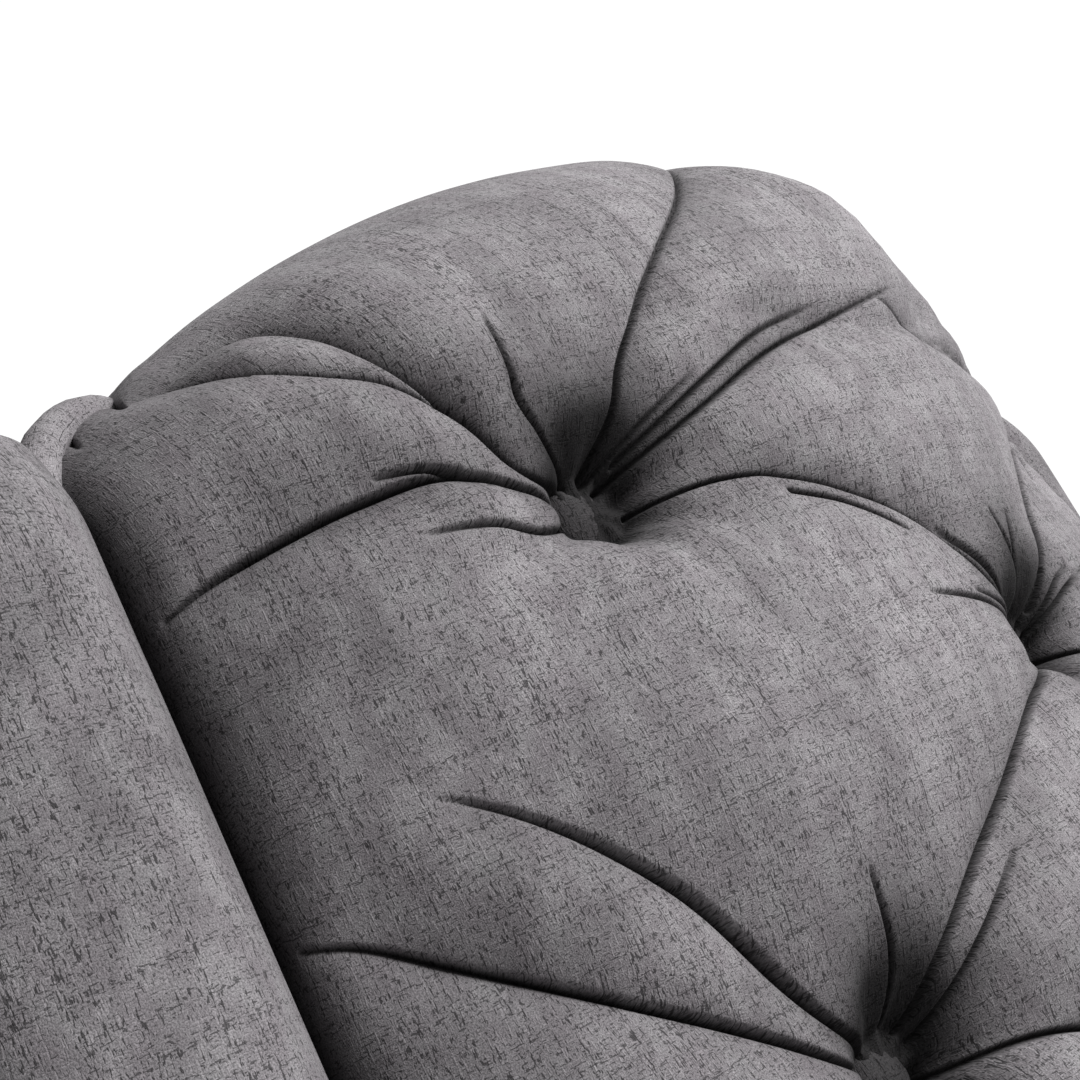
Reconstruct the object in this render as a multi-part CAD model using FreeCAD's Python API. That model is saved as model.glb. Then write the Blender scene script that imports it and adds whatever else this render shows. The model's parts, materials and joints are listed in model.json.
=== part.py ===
"""A swivelling nursery glider chair with a deep-buttoned back pillow.

Millimetres, +Z up, the sitter faces -Y, and the origin is on the floor at the bottom centre of the whole chair.
Back parts are built upright in a frame of their own (x across, y backwards, z up the back) and then leaned back.
"""
import FreeCAD, Part
import math
import os

Vector = FreeCAD.Vector

# ---- driving dimensions --------------------------------------------------------------------------------------
RECLINE_DEG = 24.0          # how far the back leans from upright
SEAT_FRONT_Y = -458.0       # front of the seat cushion
BACK_ORIGIN_Y = 93.4       # foot of the back's front plane
BACK_ORIGIN_Z = 345.0
SIDE_X = 283.0              # outer face of the wooden seat box
BOX_BOTTOM_Z = 70.0
BOX_TOP_Z = 335.0
BOX_REAR_Y = 185.0          # outer face of the rear rail
BOX_FRONT_Y = -436.0        # outer face of the front rail
BOARD = 25.0                # thickness of the box's boards

PILLOW_HALF_W = 280.0
PILLOW_CROWN = 114.0        # how far the pillow stands in front of the back's front plane
PILLOW_TOP_MID = 759.0      # the arched top, up the back, at the middle and at the corners
PILLOW_TOP_SIDE = 674.0
BUTTON_COLUMN_X = 150.0
BUTTON_TOP_ROW = 600.0
BUTTON_ROW_STEP = 92.0
BUTTON_ROWS = 5
BUTTON_R = 12.5
BUTTON_SINK = 26.0

ARM_INNER_X = 283.0
ARM_OUTER_X = 420.0
ARM_PAD_BOTTOM_Z = 552.0
ARM_TOP_Z = 632.0
ARM_FRONT_Y = -440.0

SWIVEL_Y = -60.0            # the swivel axis
RING_R = 270.0              # floor ring, to the middle of its tube
TUBE_R = 12.5
PAD_COUNT = 4
RING_Z = 18.5
BAR_Z = (RING_Z - 8.0, RING_Z + 8.0)   # the crossbars inside the ring

PIVOT_HALF_SPAN = 115.0     # hanger pivots in front of and behind the swivel axis
UPPER_PIVOT_Z = 215.0
HANGER_LENGTH = 130.0
LOWER_PIVOT_Z = UPPER_PIVOT_Z - HANGER_LENGTH
GLIDE_LIMIT_DEG = 16.0
PIN_R = 5.0
BEARING_R = 8.0
RUNNING_GAP = 0.08
SIDE_PLATE_X = (150.0, 154.0)
HANGER_X = (158.0, 164.0)
BRACKET_X = (170.0, 174.0)
RAIL_TOP_Z = 248.5

BACK_PLACE = FreeCAD.Placement(
    Vector(0, BACK_ORIGIN_Y, BACK_ORIGIN_Z), FreeCAD.Rotation(Vector(1, 0, 0), -RECLINE_DEG)
)
SIDES = {"left": -1, "right": 1}   # as seen from in front of the chair

nodes = {}


# ---- shape helpers -------------------------------------------------------------------------------------------
def span(low, high):
    return (low, high) if low < high else (high, low)


def box(x, y, z):
    """A box from three (low, high) pairs."""
    x, y, z = span(*x), span(*y), span(*z)
    return Part.makeBox(x[1] - x[0], y[1] - y[0], z[1] - z[0], Vector(x[0], y[0], z[0]))


def rod(radius, start, end):
    start, end = Vector(*start), Vector(*end)
    return Part.makeCylinder(radius, (end - start).Length, start, end - start)


def fuse(shapes):
    return shapes[0].fuse(shapes[1:]).removeSplitter() if len(shapes) > 1 else shapes[0]


def group(shapes):
    """Separate solids that share one node."""
    return Part.makeCompound(shapes)


def outline(steps, to_3d):
    """A closed wire. A step is one 2-D point for a straight run, or (point on the arc, end point) for an arc."""
    first = steps[0]
    here, edges = first, []
    for step in steps[1:] + [first]:
        is_arc = isinstance(step[0], tuple)
        end = step[1] if is_arc else step
        if math.dist(here, end) > 1e-6:
            if is_arc:
                edges.append(Part.Arc(to_3d(*here), to_3d(*step[0]), to_3d(*end)).toShape())
            else:
                edges.append(Part.makeLine(to_3d(*here), to_3d(*end)))
        here = end
    return Part.Face(Part.Wire(edges))


def prism_x(steps, x0, x1):
    """A y-z outline extruded across the chair."""
    return outline(steps, lambda y, z: Vector(x0, y, z)).extrude(Vector(x1 - x0, 0, 0))


def prism_y(steps, y0, y1):
    """An x-z outline extruded front to back."""
    return outline(steps, lambda x, z: Vector(x, y0, z)).extrude(Vector(0, y1 - y0, 0))


def prism_z(steps, z0, z1):
    """An x-y outline extruded upwards."""
    return outline(steps, lambda x, y: Vector(x, y, z0)).extrude(Vector(0, 0, z1 - z0))


def common(shapes):
    result = shapes[0]
    for other in shapes[1:]:
        result = result.common(other)
    return result


def arch(half_width, bottom, side_top, mid_top):
    """An x-z outline with an arched top."""
    return [
        (-half_width, bottom), (half_width, bottom), (half_width, side_top),
        ((0.0, mid_top), (-half_width, side_top)),
    ]


def rounded(x, y, radius):
    """An x-y or y-z rectangle with rounded corners, as outline steps."""
    (x0, x1), (y0, y1) = span(*x), span(*y)
    r, k = radius, radius * (1 - math.sqrt(0.5))
    return [
        (x0 + r, y0), (x1 - r, y0), ((x1 - k, y0 + k), (x1, y0 + r)),
        (x1, y1 - r), ((x1 - k, y1 - k), (x1 - r, y1)),
        (x0 + r, y1), ((x0 + k, y1 - k), (x0, y1 - r)),
        (x0, y0 + r), ((x0 + k, y0 + k), (x0 + r, y0)),
    ]


def lean(shape):
    """Takes a back part from its own upright frame to its place on the chair."""
    moved = shape.copy()
    moved.Placement = BACK_PLACE.multiply(moved.Placement)
    return moved


def back_point(x, forward, up):
    return BACK_PLACE.multVec(Vector(x, -forward, up))


def add(name, shape):
    nodes[name] = shape


# ---- floor base and swivel -----------------------------------------------------------------------------------
def make_floor_base():
    centre = Vector(0, SWIVEL_Y, RING_Z)
    ring = Part.makeTorus(RING_R, TUBE_R, centre)
    add("base_ring", ring)

    half_w, reach = 20.0, RING_R - 8.0
    across = box((-reach, reach), (SWIVEL_Y - half_w, SWIVEL_Y + half_w), BAR_Z)
    along = box((-half_w, half_w), (SWIVEL_Y - reach, SWIVEL_Y + reach), BAR_Z)
    add("base_crossbars", fuse([across, along]).cut(ring))

    pads = []
    for i in range(PAD_COUNT):
        turn = math.radians(360.0 / PAD_COUNT * (i + 0.5))
        x, y = RING_R * math.cos(turn), SWIVEL_Y + RING_R * math.sin(turn)
        pads.append(rod(11.0, (x, y, 0), (x, y, 11.0)).cut(ring))
    add("floor_pads", group(pads))


RACE_R, BALL_R, BALL_COUNT = 60.0, 3.0, 20
SWIVEL_Z = BAR_Z[1]         # underside of the swivel's lower plate
BALL_Z = SWIVEL_Z + 7.0
UPPER_PLATE_Z = (BALL_Z + 4.0, BALL_Z + 8.0)
KINGPIN_R = 8.0


def annulus(inner, outer, z):
    whole = rod(outer, (0, SWIVEL_Y, z[0]), (0, SWIVEL_Y, z[1]))
    return whole.cut(rod(inner, (0, SWIVEL_Y, z[0] - 1), (0, SWIVEL_Y, z[1] + 1)))


def make_swivel():
    bolts, bolt_holes = [], []
    for dx, dy in ((-70, 0), (70, 0), (0, -70), (0, 70)):
        x, y = dx, SWIVEL_Y + dy
        head = rod(6.0, (x, y, BAR_Z[0] - 3.5), (x, y, BAR_Z[0]))
        shank = rod(3.0, (x, y, BAR_Z[0]), (x, y, SWIVEL_Z + 4.5))
        bolts.append(fuse([head, shank]))
        bolt_holes.append(rod(3.0, (x, y, BAR_Z[0]), (x, y, SWIVEL_Z + 4.5)))
    add("base_plate_bolts", group(bolts))
    nodes["base_crossbars"] = nodes["base_crossbars"].cut(bolt_holes)
    axis_hole = rod(KINGPIN_R + RUNNING_GAP, (0, SWIVEL_Y, 0), (0, SWIVEL_Y, 80))
    lower = box((-80, 80), (SWIVEL_Y - 80, SWIVEL_Y + 80), (SWIVEL_Z, SWIVEL_Z + 3.0))
    lower_race = annulus(RACE_R - 10, RACE_R + 10, (SWIVEL_Z + 3.0, BALL_Z - 2.0))
    lower_groove = Part.makeTorus(RACE_R, BALL_R + 0.05, Vector(0, SWIVEL_Y, BALL_Z))
    lower_hole = rod(KINGPIN_R, (0, SWIVEL_Y, 0), (0, SWIVEL_Y, 80))
    add("swivel_lower_plate", fuse([lower, lower_race]).cut([lower_groove, lower_hole] + bolt_holes))

    upper = box((-80, 80), (SWIVEL_Y - 140, SWIVEL_Y + 140), UPPER_PLATE_Z)
    upper_race = annulus(RACE_R - 10, RACE_R + 10, (BALL_Z + 2.0, UPPER_PLATE_Z[0]))
    upper_groove = Part.makeTorus(RACE_R, BALL_R + 0.3, Vector(0, SWIVEL_Y, BALL_Z))
    add("swivel_upper_plate", fuse([upper, upper_race]).cut([upper_groove, axis_hole]))

    cage = annulus(RACE_R - 8, RACE_R + 8, (BALL_Z - 1.0, BALL_Z + 1.0))
    balls = []
    for i in range(BALL_COUNT):
        turn = 2 * math.pi * i / BALL_COUNT
        x, y = RACE_R * math.cos(turn), SWIVEL_Y + RACE_R * math.sin(turn)
        balls.append(Part.makeSphere(BALL_R, Vector(x, y, BALL_Z)))
        cage = cage.cut(rod(BALL_R + 0.15, (x, y, BALL_Z - 5), (x, y, BALL_Z + 5)))
    add("swivel_balls", group(balls))
    add("swivel_ball_cage", cage)

    head_z = UPPER_PLATE_Z[1] + 0.4
    shank = rod(KINGPIN_R, (0, SWIVEL_Y, SWIVEL_Z), (0, SWIVEL_Y, head_z))
    head = rod(14.0, (0, SWIVEL_Y, head_z), (0, SWIVEL_Y, head_z + 5.0))
    add("swivel_kingpin", fuse([shank, head]))


# ---- glide mechanism -----------------------------------------------------------------------------------------
PIVOT_YS = {"front": SWIVEL_Y - PIVOT_HALF_SPAN, "rear": SWIVEL_Y + PIVOT_HALF_SPAN}
HANGER_HALF_W = 15.0
PLATE_TOP_Z = 232.0
STOP_R = 6.0
STOP_DROP = 80.0            # how far below the upper pivot the hanger meets its stop


def make_stage():
    """The part that swivels: two side plates on cross tubes, carrying the upper pivots and the stops."""
    tube_z = (UPPER_PLATE_Z[1], UPPER_PLATE_Z[1] + 28.0)
    tubes = []
    for y in PIVOT_YS.values():
        outer = box((-SIDE_PLATE_X[0], SIDE_PLATE_X[0]), (y - 14, y + 14), tube_z)
        inner = box((-SIDE_PLATE_X[0] - 1, SIDE_PLATE_X[0] + 1), (y - 12, y + 12), (tube_z[0] + 2, tube_z[1] - 2))
        tubes.append(outer.cut(inner))
    add("stage_cross_tubes", group(tubes))

    pins = []
    stops = []
    limit = math.radians(GLIDE_LIMIT_DEG)
    reach = (HANGER_HALF_W + STOP_R + 0.5 + STOP_DROP * math.sin(limit)) / math.cos(limit)
    for side, sign in SIDES.items():
        steps = [
            (SWIVEL_Y - 178, UPPER_PLATE_Z[1]), (SWIVEL_Y + 178, UPPER_PLATE_Z[1]),
            (SWIVEL_Y + 150, PLATE_TOP_Z), (SWIVEL_Y - 150, PLATE_TOP_Z),
        ]
        plate = prism_x(steps, sign * SIDE_PLATE_X[0], sign * SIDE_PLATE_X[1])
        for y in PIVOT_YS.values():
            plate = plate.cut(rod(PIN_R, (sign * 140, y, UPPER_PIVOT_Z), (sign * 160, y, UPPER_PIVOT_Z)))
            shank = rod(PIN_R, (sign * 145, y, UPPER_PIVOT_Z), (sign * 167.5, y, UPPER_PIVOT_Z))
            head = rod(9.0, (sign * 145, y, UPPER_PIVOT_Z), (sign * SIDE_PLATE_X[0], y, UPPER_PIVOT_Z))
            spacer = rod(7.0, (sign * SIDE_PLATE_X[1], y, UPPER_PIVOT_Z), (sign * 157.6, y, UPPER_PIVOT_Z))
            nut = rod(7.5, (sign * 164.4, y, UPPER_PIVOT_Z), (sign * 168.5, y, UPPER_PIVOT_Z))
            pins.append(fuse([shank, head, spacer, nut]))
        for offset in (-reach, reach):
            y, z = PIVOT_YS["front"] + offset, UPPER_PIVOT_Z - STOP_DROP
            stops.append(rod(STOP_R, (sign * SIDE_PLATE_X[1], y, z), (sign * 163.5, y, z)))
        add(f"side_plate_{side}", plate)
    add("upper_pivot_pins", group(pins))
    add("glide_stops", group(stops))


def make_hangers():
    for end, y in PIVOT_YS.items():
        bearings = []
        for side, sign in SIDES.items():
            bar = box(
                [sign * x for x in HANGER_X], (y - HANGER_HALF_W, y + HANGER_HALF_W), (LOWER_PIVOT_Z, UPPER_PIVOT_Z)
            )
            eyes = [
                rod(HANGER_HALF_W, (sign * HANGER_X[0], y, z), (sign * HANGER_X[1], y, z))
                for z in (LOWER_PIVOT_Z, UPPER_PIVOT_Z)
            ]
            hanger = fuse([bar] + eyes)
            for z in (LOWER_PIVOT_Z, UPPER_PIVOT_Z):
                hanger = hanger.cut(rod(BEARING_R, (sign * 150, y, z), (sign * 175, y, z)))
                sleeve = rod(BEARING_R, (sign * HANGER_X[0], y, z), (sign * HANGER_X[1], y, z))
                bore = rod(PIN_R + RUNNING_GAP, (sign * 150, y, z), (sign * 175, y, z))
                bearings.append(sleeve.cut(bore))
            add(f"{end}_hanger_{side}", hanger)
        add(f"{end}_hanger_bearings", group(bearings))


def make_carriage_steel():
    """The steel under the seat box that hangs from the hangers' lower ends."""
    pins = []
    for side, sign in SIDES.items():
        web = box([sign * x for x in BRACKET_X], (-398, 112), (212.0, RAIL_TOP_Z))
        flange = box((sign * BRACKET_X[1], sign * 206), (-398, 112), (RAIL_TOP_Z - 4.0, RAIL_TOP_Z))
        pieces = [web, flange]
        for y in PIVOT_YS.values():
            half = 20.0
            leg = box([sign * x for x in BRACKET_X], (y - half, y + half), (LOWER_PIVOT_Z, 212.0))
            foot = rod(half, (sign * BRACKET_X[0], y, LOWER_PIVOT_Z), (sign * BRACKET_X[1], y, LOWER_PIVOT_Z))
            hole = rod(PIN_R, (sign * 160, y, LOWER_PIVOT_Z), (sign * 180, y, LOWER_PIVOT_Z))
            pieces += [leg.cut(hole), foot.cut(hole)]
            shank = rod(PIN_R, (sign * 155.8, y, LOWER_PIVOT_Z), (sign * 179, y, LOWER_PIVOT_Z))
            cap = rod(7.5, (sign * 155.6, y, LOWER_PIVOT_Z), (sign * 157.6, y, LOWER_PIVOT_Z))
            spacer = rod(7.0, (sign * 164.4, y, LOWER_PIVOT_Z), (sign * BRACKET_X[0], y, LOWER_PIVOT_Z))
            nut = rod(9.0, (sign * BRACKET_X[1], y, LOWER_PIVOT_Z), (sign * 180, y, LOWER_PIVOT_Z))
            pins.append(fuse([shank, cap, spacer, nut]))
        add(f"seat_rail_{side}", fuse(pieces))
    add("lower_pivot_pins", group(pins))


# ---- wooden seat box -----------------------------------------------------------------------------------------
SIDE_RAIL_Z = (250.0, BOX_TOP_Z)
BEARER_Z = (250.0, 272.0)
INNER_FRONT_Y = BOX_FRONT_Y + BOARD
INNER_REAR_Y = BOX_REAR_Y - BOARD
SPRING_XS = (-200.0, -100.0, 0.0, 100.0, 200.0)
WIRE_R = 2.0
SPRING_Z = BOX_TOP_Z + WIRE_R + 1.0


def make_seat_box():
    inner_x = SIDE_X - BOARD
    full_z = (BOX_BOTTOM_Z, BOX_TOP_Z)
    add("front_rail", box((-SIDE_X, SIDE_X), (BOX_FRONT_Y, INNER_FRONT_Y), full_z))
    add("rear_rail", box((-SIDE_X, SIDE_X), (INNER_REAR_Y, BOX_REAR_Y), full_z))
    for side, sign in SIDES.items():
        add(
            f"side_rail_{side}",
            box((sign * inner_x, sign * SIDE_X), (INNER_FRONT_Y, INNER_REAR_Y), SIDE_RAIL_Z),
        )
    front_bearer = box((-inner_x, inner_x), (INNER_FRONT_Y, INNER_FRONT_Y + 60), BEARER_Z)
    rear_bearer = box((-inner_x, inner_x), (INNER_REAR_Y - 60, INNER_REAR_Y), BEARER_Z)
    add("rail_bearers", group([front_bearer, rear_bearer]))
    dust_z = (RAIL_TOP_Z, SIDE_RAIL_Z[0])
    add("dust_cover", box((-inner_x, inner_x), (INNER_FRONT_Y, INNER_REAR_Y), dust_z))

    blocks = []
    leg = 55.0
    for sign in SIDES.values():
        x = sign * inner_x
        for y, inward in ((INNER_FRONT_Y, 1), (INNER_REAR_Y, -1)):
            steps = [(x, y), (x - sign * leg, y), (x, y + inward * leg)]
            blocks.append(prism_z(steps, BEARER_Z[1], BEARER_Z[1] + 40))
    stile_gap = lean(box((-300, 300), (0, BACK_BOARD_T + FRAME_T + 3), (-140, 80)))
    add("corner_blocks", group([b.cut(stile_gap) for b in blocks]))


def spring_wire(x):
    """One sinuous spring: straight rungs across, joined by half-circle bends."""
    bend_r, half_rung = 11.0, 14.0
    start, end = INNER_FRONT_Y + 12.0, INNER_REAR_Y - 12.0
    loops = int((end - start) / (2 * bend_r))
    start = (start + end) / 2 - loops * bend_r
    z = SPRING_Z
    edges = []
    for i in range(loops):
        y, sign = start + 2 * bend_r * i, 1 if i % 2 else -1
        here = Vector(x + sign * half_rung, y, z)
        before = Vector(x - sign * half_rung, y, z)
        if i == 0:
            before = Vector(x, y, z)
        edges.append(Part.makeLine(before, here))
        top = here + Vector(sign * bend_r, bend_r, 0)
        there = here + Vector(0, 2 * bend_r, 0)
        edges.append(Part.Arc(here, top, there).toShape())
    last = start + 2 * bend_r * loops
    sign = 1 if (loops - 1) % 2 else -1
    edges.append(Part.makeLine(Vector(x + sign * half_rung, last, z), Vector(x, last, z)))
    path = Part.Wire(edges)
    ring = Part.Wire([Part.makeCircle(WIRE_R, Vector(x, start, z), Vector(1, 0, 0))])
    return path.makePipeShell([ring], True, False), start, last


def make_springs():
    springs, clips = [], []
    wire, first_y, last_y = spring_wire(0.0)
    for x in SPRING_XS:
        moved = wire.copy()
        moved.translate(Vector(x, 0, 0))
        springs.append(moved)
        for end_y, rail_y, inward in ((first_y, INNER_FRONT_Y, 1), (last_y, INNER_REAR_Y, -1)):
            outer, inner = rail_y - inward * 18, end_y + inward * 4
            clips.append(box((x - 12, x + 12), (outer, inner), (BOX_TOP_Z, SPRING_Z - WIRE_R)))
            block_z = (SPRING_Z - WIRE_R, BOX_TOP_Z + 6.0)
            clips.append(box((x - 12, x + 12), (outer, outer + inward * 10), block_z))
    add("seat_springs", group(springs))
    pairs = [fuse(clips[i:i + 2]) for i in range(0, len(clips), 2)]
    add("spring_clips", group(pairs))


# ---- seat ----------------------------------------------------------------------------------------------------
DECK_Z = (BOX_TOP_Z + 6.0, BOX_TOP_Z + 36.0)
CUSHION_TOP_Z = 478.0
CUSHION_REAR_Y = 27.0


def make_seat():
    half = SIDE_X - 1.0
    add("seat_deck_pad", box((-half, half), (BOX_FRONT_Y + 2, -8.0), DECK_Z))
    z0, z1 = DECK_Z[1], CUSHION_TOP_Z
    side = prism_x(
        [
            (CUSHION_REAR_Y, z0), (CUSHION_REAR_Y, z1 - 12), ((-200.0, z1), (SEAT_FRONT_Y + 40, z1 - 14)),
            ((SEAT_FRONT_Y + 9, z1 - 34), (SEAT_FRONT_Y, z1 - 62)), (SEAT_FRONT_Y + 12, z0),
        ],
        -half, half,
    )
    front = prism_y([(-half, z0), (half, z0), (half, z1 - 22), ((0.0, z1), (-half, z1 - 22))], -600, 200)
    add("seat_cushion", common([side, front]))


# ---- back ----------------------------------------------------------------------------------------------------
BACK_BOARD_T = 9.0
FRAME_T = 50.0
OUTER_BACK_T = 16.0
OUTER_HALF_W = 368.0


def button_places():
    """(x, up the back) of each button: two columns with a middle column between their rows."""
    places = []
    for row in range(BUTTON_ROWS):
        up = BUTTON_TOP_ROW - row * BUTTON_ROW_STEP
        columns = (0.0,) if row % 2 else (-BUTTON_COLUMN_X, BUTTON_COLUMN_X)
        places += [(x, up) for x in columns]
    return places


def crown_at(x):
    """How far the pillow's smooth front stands forward at x."""
    share = min(1.0, abs(x) / PILLOW_HALF_W)
    return PILLOW_CROWN * (1 - share ** 1.5) ** (1 / 1.5)


def pillow_solid():
    w, c = PILLOW_HALF_W, PILLOW_CROWN
    section = prism_z(
        [
            (w, 80.0), (w, 0.0), ((w - 12, -34.0), (w - 58, -58.0)), ((0.0, -c), (-w + 58, -58.0)),
            ((-w + 12, -34.0), (-w, 0.0)), (-w, 80.0),
        ],
        -10, 900,
    )
    top = PILLOW_TOP_MID + 1
    profile = prism_x(
        [
            (0.0, 4.0), (-52.0, 4.0), ((-98.0, 70.0), (-c, 160.0)), (-c, top - 105),
            ((-c + 34, top - 30), (-42.0, top)), (FRAME_T + BACK_BOARD_T, top), (FRAME_T + BACK_BOARD_T, 692.0),
            (0.0, 692.0),
        ],
        -w, w,
    )
    front = prism_y(arch(w, -10.0, PILLOW_TOP_SIDE, PILLOW_TOP_MID), -200, 80)
    pillow = common([profile, section, front])
    under_cap = prism_y(arch(w + 5, 0.0, 604.0, 692.0), 0.0, 80.0)
    return pillow.cut(under_cap)


def make_pillow():
    pillow = pillow_solid()
    buttons, twines = [], []
    for x, up in button_places():
        seat = crown_at(x) - BUTTON_SINK - 8.0
        funnel = Part.makeCone(BUTTON_R + 1.5, 30.0, 60.0, Vector(x, -seat, up), Vector(0, -1, 0))
        pillow = pillow.cut([funnel, rod(1.0, (x, -seat, up), (x, 1, up))])
        dome_r = 20.0
        disc = rod(BUTTON_R, (x, -seat, up), (x, -seat - 9.0, up))
        dome = Part.makeSphere(dome_r, Vector(x, -seat - 8.0 + dome_r, up))
        buttons.append(disc.common(dome))
        twines.append(rod(1.0, (x, -seat, up), (x, BACK_BOARD_T, up)))
    add("back_pillow", lean(pillow))
    add("tuft_buttons", group([lean(b) for b in buttons]))
    add("tuft_twines", group([lean(t) for t in twines]))


def make_back_frame():
    board = prism_y(arch(PILLOW_HALF_W - 2, 16.0, 602.0, 690.0), 0.0, BACK_BOARD_T)
    for x, up in button_places():
        board = board.cut(rod(1.0, (x, -1, up), (x, BACK_BOARD_T + 1, up)))
    add("back_board", lean(board))

    front, rear = BACK_BOARD_T, BACK_BOARD_T + FRAME_T
    below_floor = box((-400, 400), (-400, 400), (0, BEARER_Z[1] + 2))
    for side, sign in SIDES.items():
        stile = box((sign * 233, sign * 258), (front, rear), (-110, 597))
        add(f"back_stile_{side}", lean(stile).cut(below_floor))
    top_rail = prism_y(arch(280.0, 597.0, 603.0, 690.0), front, rear)
    add("back_top_rail", lean(top_rail))
    add("back_waist_rail", lean(box((-233, 233), (front, rear), (290, 350))))
    add("back_foot_rail", lean(box((-233, 233), (front, rear), (20, 90))))

    outer = prism_y(arch(OUTER_HALF_W, 32.0, 640.0, 728.0), rear, rear + OUTER_BACK_T)
    add("outer_back", lean(outer))


BOLSTER_FORWARD = 50.0
BOLSTER_TOP = 672.0


def make_bolsters():
    rear = BACK_BOARD_T + FRAME_T
    for side, sign in SIDES.items():
        x0, x1 = sign * (SIDE_X + 0.5), sign * OUTER_HALF_W
        mid = (x0 + x1) / 2
        section = prism_z(
            [
                (x0, rear), (x0, -BOLSTER_FORWARD + 30), ((x0 + sign * 10, -BOLSTER_FORWARD + 8),
                (x0 + sign * 34, -BOLSTER_FORWARD)), (mid, -BOLSTER_FORWARD),
                ((x1 - sign * 12, -BOLSTER_FORWARD + 20), (x1, -5.0)), (x1, rear),
            ],
            0, 800,
        )
        profile = prism_x(
            [
                (-BOLSTER_FORWARD, 4.0), (rear, 4.0), (rear, BOLSTER_TOP - 22),
                ((-4.0, BOLSTER_TOP), (-BOLSTER_FORWARD, BOLSTER_TOP - 58)),
            ],
            x0, x1,
        )
        bolster = lean(common([section, profile]))
        add(f"back_bolster_{side}", bolster)


# ---- arms ----------------------------------------------------------------------------------------------------
ARM_PAD_FRONT_Y = ARM_FRONT_Y + 14.0
ARM_PAD_BOTTOM = BOX_BOTTOM_Z - 3.0
ARM_BOARD_INNER_X = (320.0, 332.0)
ARM_BOARD_OUTER_X = (394.0, 406.0)
ARM_SKIN_X = (406.0, 416.0)
ARM_TOP_BOARD_T = 20.0
ARM_BOLT_R = 4.0
ARM_BOLT_PLACES = ((-330.0, 300.0), (-40.0, 300.0))


def bolster_front_y(z, clearance):
    """Where the leaning bolster's front plane is at height z."""
    lean_angle = math.radians(RECLINE_DEG)
    forward = BOLSTER_FORWARD + clearance
    up = (z - BACK_ORIGIN_Z - forward * math.sin(lean_angle)) / math.cos(lean_angle)
    return back_point(0, forward, up).y


def arm_outline(front_y, bottom_z, top_z, clearance):
    """The y-z shape of an arm layer: it runs under the bolster's foot and up along its front."""
    foot = back_point(0, BOLSTER_FORWARD + clearance, 3.0)
    heel = back_point(0, -(BACK_BOARD_T + FRAME_T + 3.0), 3.0)
    return [
        (front_y, bottom_z), (BOX_REAR_Y, bottom_z), (BOX_REAR_Y, heel.z), (heel.y, heel.z),
        (foot.y, foot.z), (bolster_front_y(top_z, clearance), top_z), (front_y, top_z),
    ]


def make_arms():
    low, high = ARM_PAD_BOTTOM, ARM_PAD_BOTTOM_Z
    board_top = high - ARM_TOP_BOARD_T
    gap = 2.0
    bolts, top_boards = [], []
    for side, sign in SIDES.items():
        bolt_holes = [
            rod(ARM_BOLT_R, (sign * 240, y, z), (sign * 350, y, z)) for y, z in ARM_BOLT_PLACES
        ]
        pad = prism_x(
            arm_outline(ARM_PAD_FRONT_Y, low, high, gap), sign * ARM_INNER_X, sign * ARM_BOARD_INNER_X[0]
        )
        skin = prism_x(
            arm_outline(ARM_PAD_FRONT_Y, low, high, gap), sign * ARM_SKIN_X[0], sign * ARM_SKIN_X[1]
        )
        boards = [
            prism_x(arm_outline(ARM_PAD_FRONT_Y, low + 3, board_top, gap), sign * x0, sign * x1)
            for x0, x1 in (ARM_BOARD_INNER_X, ARM_BOARD_OUTER_X)
        ]
        boards[0] = boards[0].cut(bolt_holes)
        add(f"arm_inner_pad_{side}", pad.cut(bolt_holes))
        add(f"arm_outer_skin_{side}", skin)
        add(f"arm_panels_{side}", group(boards))
        nodes[f"side_rail_{side}"] = nodes[f"side_rail_{side}"].cut(bolt_holes)

        inner_x, outer_x = sign * ARM_INNER_X, sign * ARM_SKIN_X[1]
        front_steps = [
            (inner_x, ARM_PAD_FRONT_Y), (((inner_x + outer_x) / 2, ARM_FRONT_Y - 4), (outer_x, ARM_PAD_FRONT_Y)),
        ]
        add(f"arm_front_pad_{side}", prism_z(front_steps, low, high))

        board_rear = bolster_front_y(board_top, gap)
        top_x = (sign * ARM_BOARD_INNER_X[0], sign * ARM_BOARD_OUTER_X[1])
        top_boards.append(box(top_x, (ARM_PAD_FRONT_Y, board_rear), (board_top, high)))

        shoulder = high + 36
        x0, x1 = sign * ARM_INNER_X, sign * ARM_OUTER_X
        section = [(x0, high), (x0, shoulder), (((x0 + x1) / 2, ARM_TOP_Z), (x1, shoulder)), (x1, high)]
        nose = ARM_FRONT_Y - 10
        profile = [
            (nose, high), (bolster_front_y(high, gap), high), (bolster_front_y(ARM_TOP_Z, gap), ARM_TOP_Z),
            (nose + 60, ARM_TOP_Z), ((nose + 14, ARM_TOP_Z - 20), (nose, shoulder - 2)),
        ]
        top_pad = common([prism_y(section, -600, 400), prism_x(profile, x0, x1)])
        add(f"arm_top_pad_{side}", top_pad)

        for y, z in ARM_BOLT_PLACES:
            head_x, nut_x = sign * (SIDE_X - BOARD), sign * ARM_BOARD_INNER_X[1]
            head = rod(2 * ARM_BOLT_R, (head_x - sign * 5, y, z), (head_x, y, z))
            shank = rod(ARM_BOLT_R, (head_x, y, z), (nut_x, y, z))
            nut = rod(7.0, (nut_x, y, z), (nut_x + sign * 6, y, z))
            bolts.append(fuse([head, shank, nut]))
    add("arm_top_boards", group(top_boards))
    add("arm_bolts", group(bolts))


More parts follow.
